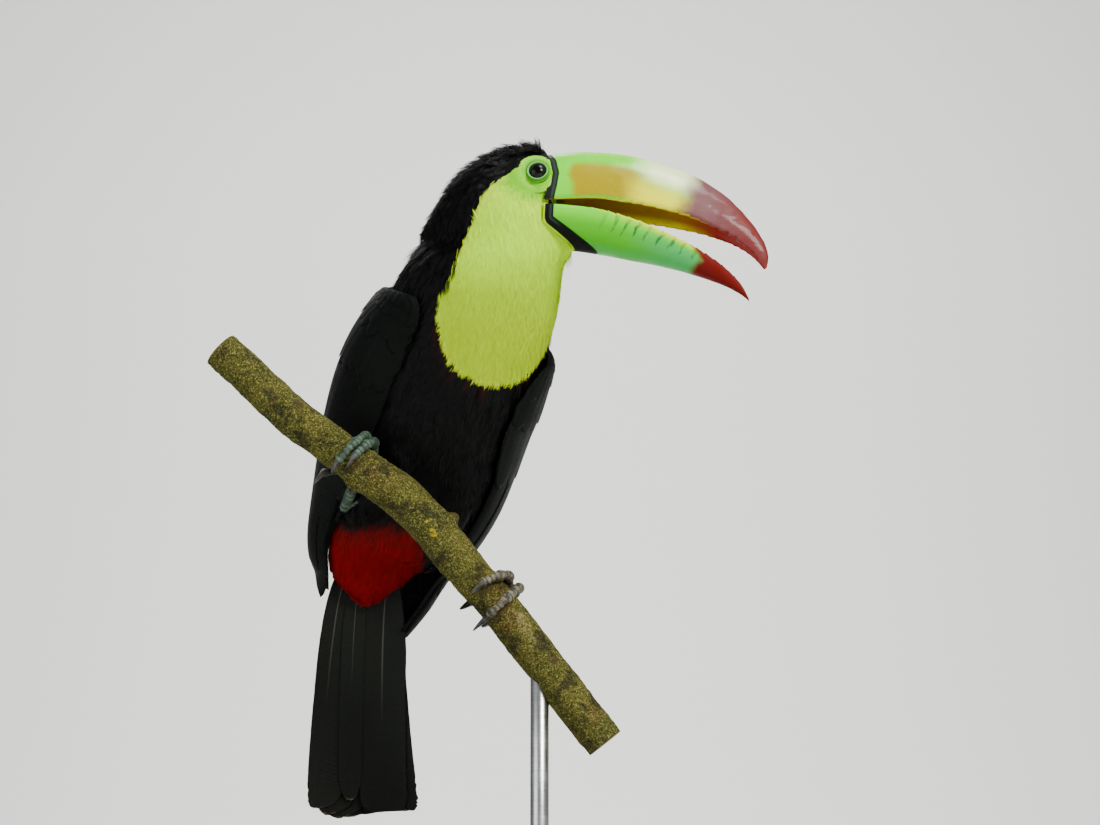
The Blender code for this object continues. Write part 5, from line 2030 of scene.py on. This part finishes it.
@dataclass
class Room:
    """A pale floor that sweeps up into a backdrop, soft lights and the camera."""

    camera_place: Triple = (0.050, -1.29025, 0.02026)
    camera_pitch: float = math.radians(100)
    lens: float = 85.09
    sensor: float = 36.0

    def build(self) -> None:
        """Make the room."""
        self.floor()
        self.light("key", (1.0, -1.25, 1.15), (0.03, -0.05, 0.27), 0.55, 42.0, (1.0, 0.985, 0.95))
        self.light("fill", (-1.3, -1.2, 0.55), (0.0, -0.03, 0.25), 1.3, 14.0, (0.95, 0.98, 1.0))
        self.light("top", (0.40, -0.34, 1.28), (0.09, -0.05, 0.34), 0.42, 10.0, (1.0, 1.0, 0.97))
        self.light("rim", (-0.3, 0.7, 1.20), (0.0, -0.02, 0.30), 0.6, 6.0, (1.0, 1.0, 1.0))
        self.light("wash", (0.0, 0.9, 0.9), (0.0, 2.6, 0.5), 1.6, 60.0, (1.0, 1.0, 0.98))
        world = bpy.data.worlds.new("soft_room")
        bpy.context.scene.world = world
        world.use_nodes = True
        world.node_tree.nodes["Background"].inputs["Color"].default_value = (0.86, 0.90, 0.92, 1.0)
        world.node_tree.nodes["Background"].inputs["Strength"].default_value = 0.28
        camera = place_new("camera", bpy.data.cameras.new("camera"))
        camera.location = self.camera_place
        camera.rotation_euler = (self.camera_pitch, 0.0, 0.0)
        camera.data.lens = self.lens
        camera.data.sensor_width = self.sensor
        camera.data.clip_start = 0.01
        bpy.context.scene.camera = camera

    def floor(self) -> None:
        """Make the floor and backdrop as one swept sheet, its top at the height of zero."""
        turn = np.linspace(0, math.pi / 2, 24)
        y = np.concatenate(([-14.0, -4.0, 0.0, 1.2], 1.6 + 1.0 * np.sin(turn), [2.6, 2.6]))
        z = np.concatenate(([0, 0, 0, 0], 1.0 - 1.0 * np.cos(turn), [3.0, 7.0]))
        x = np.array([-14.0, 14.0])
        rows = np.stack([np.stack((np.full_like(y, side), y, z), 1) for side in x], 1)
        cast = Cast()
        cast.add(rows, grid_faces(len(y), 2, False))
        made = bpy.data.materials.new("room_pale")
        made.use_nodes = True
        shader = made.node_tree.nodes["Principled BSDF"]
        shader.inputs["Base Color"].default_value = (0.66, 0.67, 0.65, 1.0)
        shader.inputs["Roughness"].default_value = 0.9
        cast.build("room_floor", made)

    def light(self, name: str, place: Triple, aim: Triple, size: float,
              power: float, colour: Colour) -> None:
        """Add a soft light that faces a point."""
        lamp = bpy.data.lights.new(name, "AREA")
        lamp.size, lamp.energy, lamp.color = size, power, colour
        holder = place_new(name, lamp)
        holder.location = place
        holder.rotation_euler = (Vector(aim) - Vector(place)).to_track_quat("-Z", "Y").to_euler()


UPPER_ROWS = (
    (-10, 24.6, -8, -1.8, 17.4), (-1.8, 26.6, 0, -1.6, 17.2), (10, 27.8, 11, -1.2, 16.8),
    (23, 27.4, 24, -1.2, 16.0), (36, 25.9, 36, -3.2, 15.2), (49, 22.4, 48, -5.3, 14.2),
    (62.4, 17.4, 60, -8.2, 12.6), (75, 10.8, 71, -11.8, 10.6), (87, 1.2, 80.5, -15.8, 8.3),
    (96.5, -10, 89, -20.6, 6.0), (102.5, -20, 95.6, -25.6, 4.0), (104.8, -27.6, 100, -30.6, 2.2),
    (103.9, -33.6, 102.6, -34.2, 0.7),
)
LOWER_ROWS = (
    (-4, -19.2, -8, -4.0, 16.6), (6, -20.8, 2, -4.2, 16.4), (17, -22.6, 12.5, -5.2, 16.0),
    (26, -24.6, 24, -6.6, 15.2), (36, -27.0, 34, -9.2, 14.2), (49, -30.0, 48, -14.2, 12.4),
    (62, -33.7, 61, -20.0, 10.0), (75, -38.4, 74, -27.0, 7.4), (85, -42.8, 84, -34.2, 4.8),
    (91.5, -47.0, 91, -41.4, 2.6), (95.4, -50.4, 95.2, -49.0, 0.7),
)
RIGHT_HEEL = (-53.0 * MM, -4 * MM, 198 * MM)
LEFT_HEEL = (-1.5 * MM, 5 * MM, 183 * MM)
RIGHT_TOES = (
    ToeForm(-40, 112, -1.9, -4.6, 146, 1.2), ToeForm(-40, 84, 2.5, 0.3, 112, 0.6),
    ToeForm(-50, -160, -1.6, -9.5, -182, 8.0), ToeForm(-50, -128, 1.6, 6.0, -168, 0.5),
)
LEFT_TOES = (
    ToeForm(-40, 120, 2.2, 4.5, 168, 5.0), ToeForm(-40, 84, -2.6, -9.0, 118, 0.4),
    ToeForm(-50, -128, -1.6, -8.0, -176, 2.5), ToeForm(-50, -120, 1.6, 5.0, -160, 0.6),
)


EYE_LEVEL = 7.6                # of the body, from which the bare skin and the face are told apart,
HAIR_LEVEL = 6.7               # the nape's and the crown's hair begins,
THROAT_LEVEL = 6.6             # and the bib's upper piece begins


def grow_coat(skin: Skin, markings: Markings, finish: Material) -> None:
    """Grow every piece of the coat of small feathers.

    Args:
        skin: The skin that carries them.
        markings: Where each colour lies.
        finish: Their material.
    """
    coat = Coat(skin, 11)
    body, head = skin.body, skin.head
    fine, broad = coat.scatter(1.08 * MM, 1), coat.scatter(1.9 * MM, 2)

    def facts(points: Array) -> tuple[Array, ...]:
        """Return levels, degrees, bib depths and eye distances of roots."""
        level, degrees = body.locate(points)
        return level, degrees, markings.bib_depth(level, degrees), markings.eye_distance(points)

    level, degrees, bib, eye = facts(fine)
    reach, height, _ = head.read(fine)
    horn = (reach > head.base_reach(height) - 1.2) & (height > -25)
    bare = (eye < 0.95) & (level > EYE_LEVEL)
    face = (eye < 1.7) & (level > EYE_LEVEL)
    yellow = (bib > 0) & ~horn & ~bare
    short = Tuft(3.6 * MM, 0.8 * MM, 6, 0.20 * MM, 0.40, 0.35)
    plush = Tuft(5.4 * MM, 1.3 * MM, 9, 0.17 * MM, 0.32, 0.24)
    hair = Tuft(6.6 * MM, 1.2 * MM, 7, 0.24 * MM, 0.42, 0.45)
    body_tuft = Tuft(12.0 * MM, 2.9 * MM, 13, 0.42 * MM, 0.34, 0.22)
    soft = Tuft(13.0 * MM, 2.2 * MM, 12, 0.30 * MM, 0.26, 0.25)
    coat.grow("coat_face", fine[yellow & face], short, finish)
    rest = yellow & ~face
    coat.grow("coat_throat", fine[rest & (level > THROAT_LEVEL)], plush, finish)
    coat.grow("coat_bib", fine[rest & (level <= THROAT_LEVEL)], plush, finish)
    beard = rest & (reach > 5.5) & (height < -15) & (height > -33) & (coat.rng.random(len(fine)) < 0.45)
    wisp = Tuft(7.0 * MM, 1.6 * MM, 4, 0.15 * MM, 0.95, 0.60)
    coat.grow("coat_chin", fine[beard], wisp, finish)
    crown = (bib <= 0) & (level > HAIR_LEVEL) & ~horn & ((eye > 1.3) | (level < EYE_LEVEL))
    brow = crown & (level > 9.2) & (reach > head.base_reach(height) - 6.0)
    up = 1 + 2.6 * ease(9.4, 11.0, level) * ease(-14, -1, reach) + 1.3 * ease(8.0, 9.5, level)
    strays = coat.rng.random(len(fine)) < 0.10 + 0.14 * ease(8.2, 9.2, level)
    up = up * (1 + 1.1 * strays) + 1.2 * ease(7.3, 6.8, level)
    coat.grow("coat_crown", fine[crown], hair, finish, up[crown])
    forelock = brow & (reach > head.base_reach(height) - 3.6)
    stiff = Tuft(2.2 * MM, 1.0 * MM, 8, 0.22 * MM, 4.9, 0.26)
    coat.grow("coat_forelock", fine[forelock], stiff, finish)
    tall = Tuft(8.5 * MM, 0.9 * MM, 7, 0.22 * MM, 0.42, 0.35)
    coat.grow("coat_brow", fine[brow], tall, finish, np.full(brow.sum(), 4.6))
    level, degrees, bib, _ = facts(broad)
    dark = (bib <= 0) & (level <= HAIR_LEVEL)
    strips = np.array(WingForm(body, 1).strips)[::-1]
    fore = np.interp(level, strips[:, 0], strips[:, 1], left=95, right=90)
    rear = np.interp(level, strips[:, 0], strips[:, 2], left=110, right=90)
    hidden = (np.abs(degrees) > fore + 12) & (np.abs(degrees) < rear - 12)
    marks = markings.read(broad)["marks"]
    tail_end = marks[:, 1:].sum(axis=1) > 0.5
    heel_gap = np.min([np.linalg.norm(broad - heel, axis=1) for heel in (RIGHT_HEEL, LEFT_HEEL)], axis=0)
    socks = heel_gap < 11 * MM
    trousers = Tuft(10.0 * MM, 1.8 * MM, 9, 0.34 * MM, 1.15, 0.35)
    coat.grow("coat_thighs", broad[socks & ~tail_end], trousers, finish)
    coat.grow("coat_front", broad[dark & ~hidden & ~tail_end & (np.abs(degrees) < 90)], body_tuft, finish,
              blended=True)
    behind = dark & ~hidden & ~tail_end & (np.abs(degrees) >= 90)
    coat.grow("coat_back", broad[behind], body_tuft, finish,
              1 + 1.4 * ease(5.9, 6.6, level[behind]))
    coat.grow("coat_under_tail", broad[tail_end & (marks[:, 1] > 0.5)], soft, finish,
              blended=True)
    coat.grow("coat_over_tail", broad[tail_end & (marks[:, 2] >= 0.5)], soft, finish)


def main() -> None:
    """Build the bird, its branch, the stand and the room."""
    logging.basicConfig(level=logging.INFO, format="%(name)s %(message)s")
    Room().build()
    plumage_group, barb_group, wear_group = make_plumage_group(), make_barb_group(), make_wear_group()
    plumage = PlumageFinish("plumage", specular=0.11).make(plumage_group)
    wing_black = VaneFinish("wing_black", roughness=0.52, specular=0.06, sheen=0.004,
                            sheen_tint=(0.35, 0.75, 0.85)).make(barb_group)
    tail_black = VaneFinish("tail_black", roughness=0.55, specular=0.15, colour=(0.0024, 0.0034, 0.0020),
                            edge=(0.0044, 0.0060, 0.0036), shaft=(0.045, 0.043, 0.036),
                            shaft_end=0.42, worn=(0.13, 0.095, 0.045)).make(barb_group)
    head, body = Head(), Body()
    markings = Markings(body, head)
    skin = Skin(body, head, markings)
    skin.build(plumage)
    grow_coat(skin, markings, plumage)
    for name, side in (("left", 1), ("right", -1)):
        Wing(side, body).build("wing_feathers_" + name, "wing_" + name, wing_black)
    Tail(TailForm()).build(tail_black)
    upper_horn = HornFinish("bill_upper_horn", roughness=0.22, specular=0.26, coat=0.14, coat_roughness=0.12)
    lower_horn = HornFinish("bill_lower_horn", roughness=0.34, specular=0.14, coat=0.03, coat_roughness=0.2,
                            jaw=Jaw.LOWER)
    Mandible(Jaw.UPPER, head, UPPER_ROWS, 0.86).build(upper_horn.make(wear_group))
    Mandible(Jaw.LOWER, head, LOWER_ROWS, 0.80).build(lower_horn.make(wear_group))
    ball = EyeFinish("eye", roughness=0.03, specular=0.14).make()
    lids = LidFinish("eyelids", roughness=0.45, specular=0.16).make(wear_group)
    for name, side in (("left", -1), ("right", 1)):
        Eye(side, head, skin).build(name, ball, lids)
    perch = Perch()
    perch.build(BarkFinish("bark", roughness=0.88, specular=0.12).make(wear_group),
                SawnFinish("sawn_wood", roughness=0.75).make())
    claw = PlainFinish("claw_horn", roughness=0.38, main=(0.010, 0.009, 0.007), second=(0.09, 0.085, 0.065),
                       scale=400.0).make(wear_group)
    right_scales = ScaleFinish("scales_right", roughness=0.55).make(wear_group)
    left_scales = ScaleFinish("scales_left", roughness=0.6, skin=(0.018, 0.014, 0.008),
                              pale=(0.17, 0.145, 0.09), dirt=0.6).make(wear_group)
    Leg(perch, -45.5 * MM, RIGHT_HEEL, RIGHT_TOES).build("right", right_scales, claw)
    Leg(perch, 23 * MM, LEFT_HEEL, LEFT_TOES).build("left", left_scales, claw)
    wood = PlainFinish("stand_wood", roughness=0.36, coat=0.2, main=(0.055, 0.026, 0.012),
                       second=(0.13, 0.066, 0.03), stretch=(0.35, 5.0, 5.0), scale=40.0).make(wear_group)
    steel = PlainFinish("stand_steel", roughness=0.28, metallic=1.0, main=(0.62, 0.62, 0.61),
                        second=(0.48, 0.48, 0.48), stretch=(1.0, 1.0, 14.0), scale=90.0, relief=0.00002,
                        wear_lift=0.1).make(wear_group)
    Stand(perch).build(wood, steel)
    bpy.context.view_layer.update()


if __name__ == "__main__":
    main()
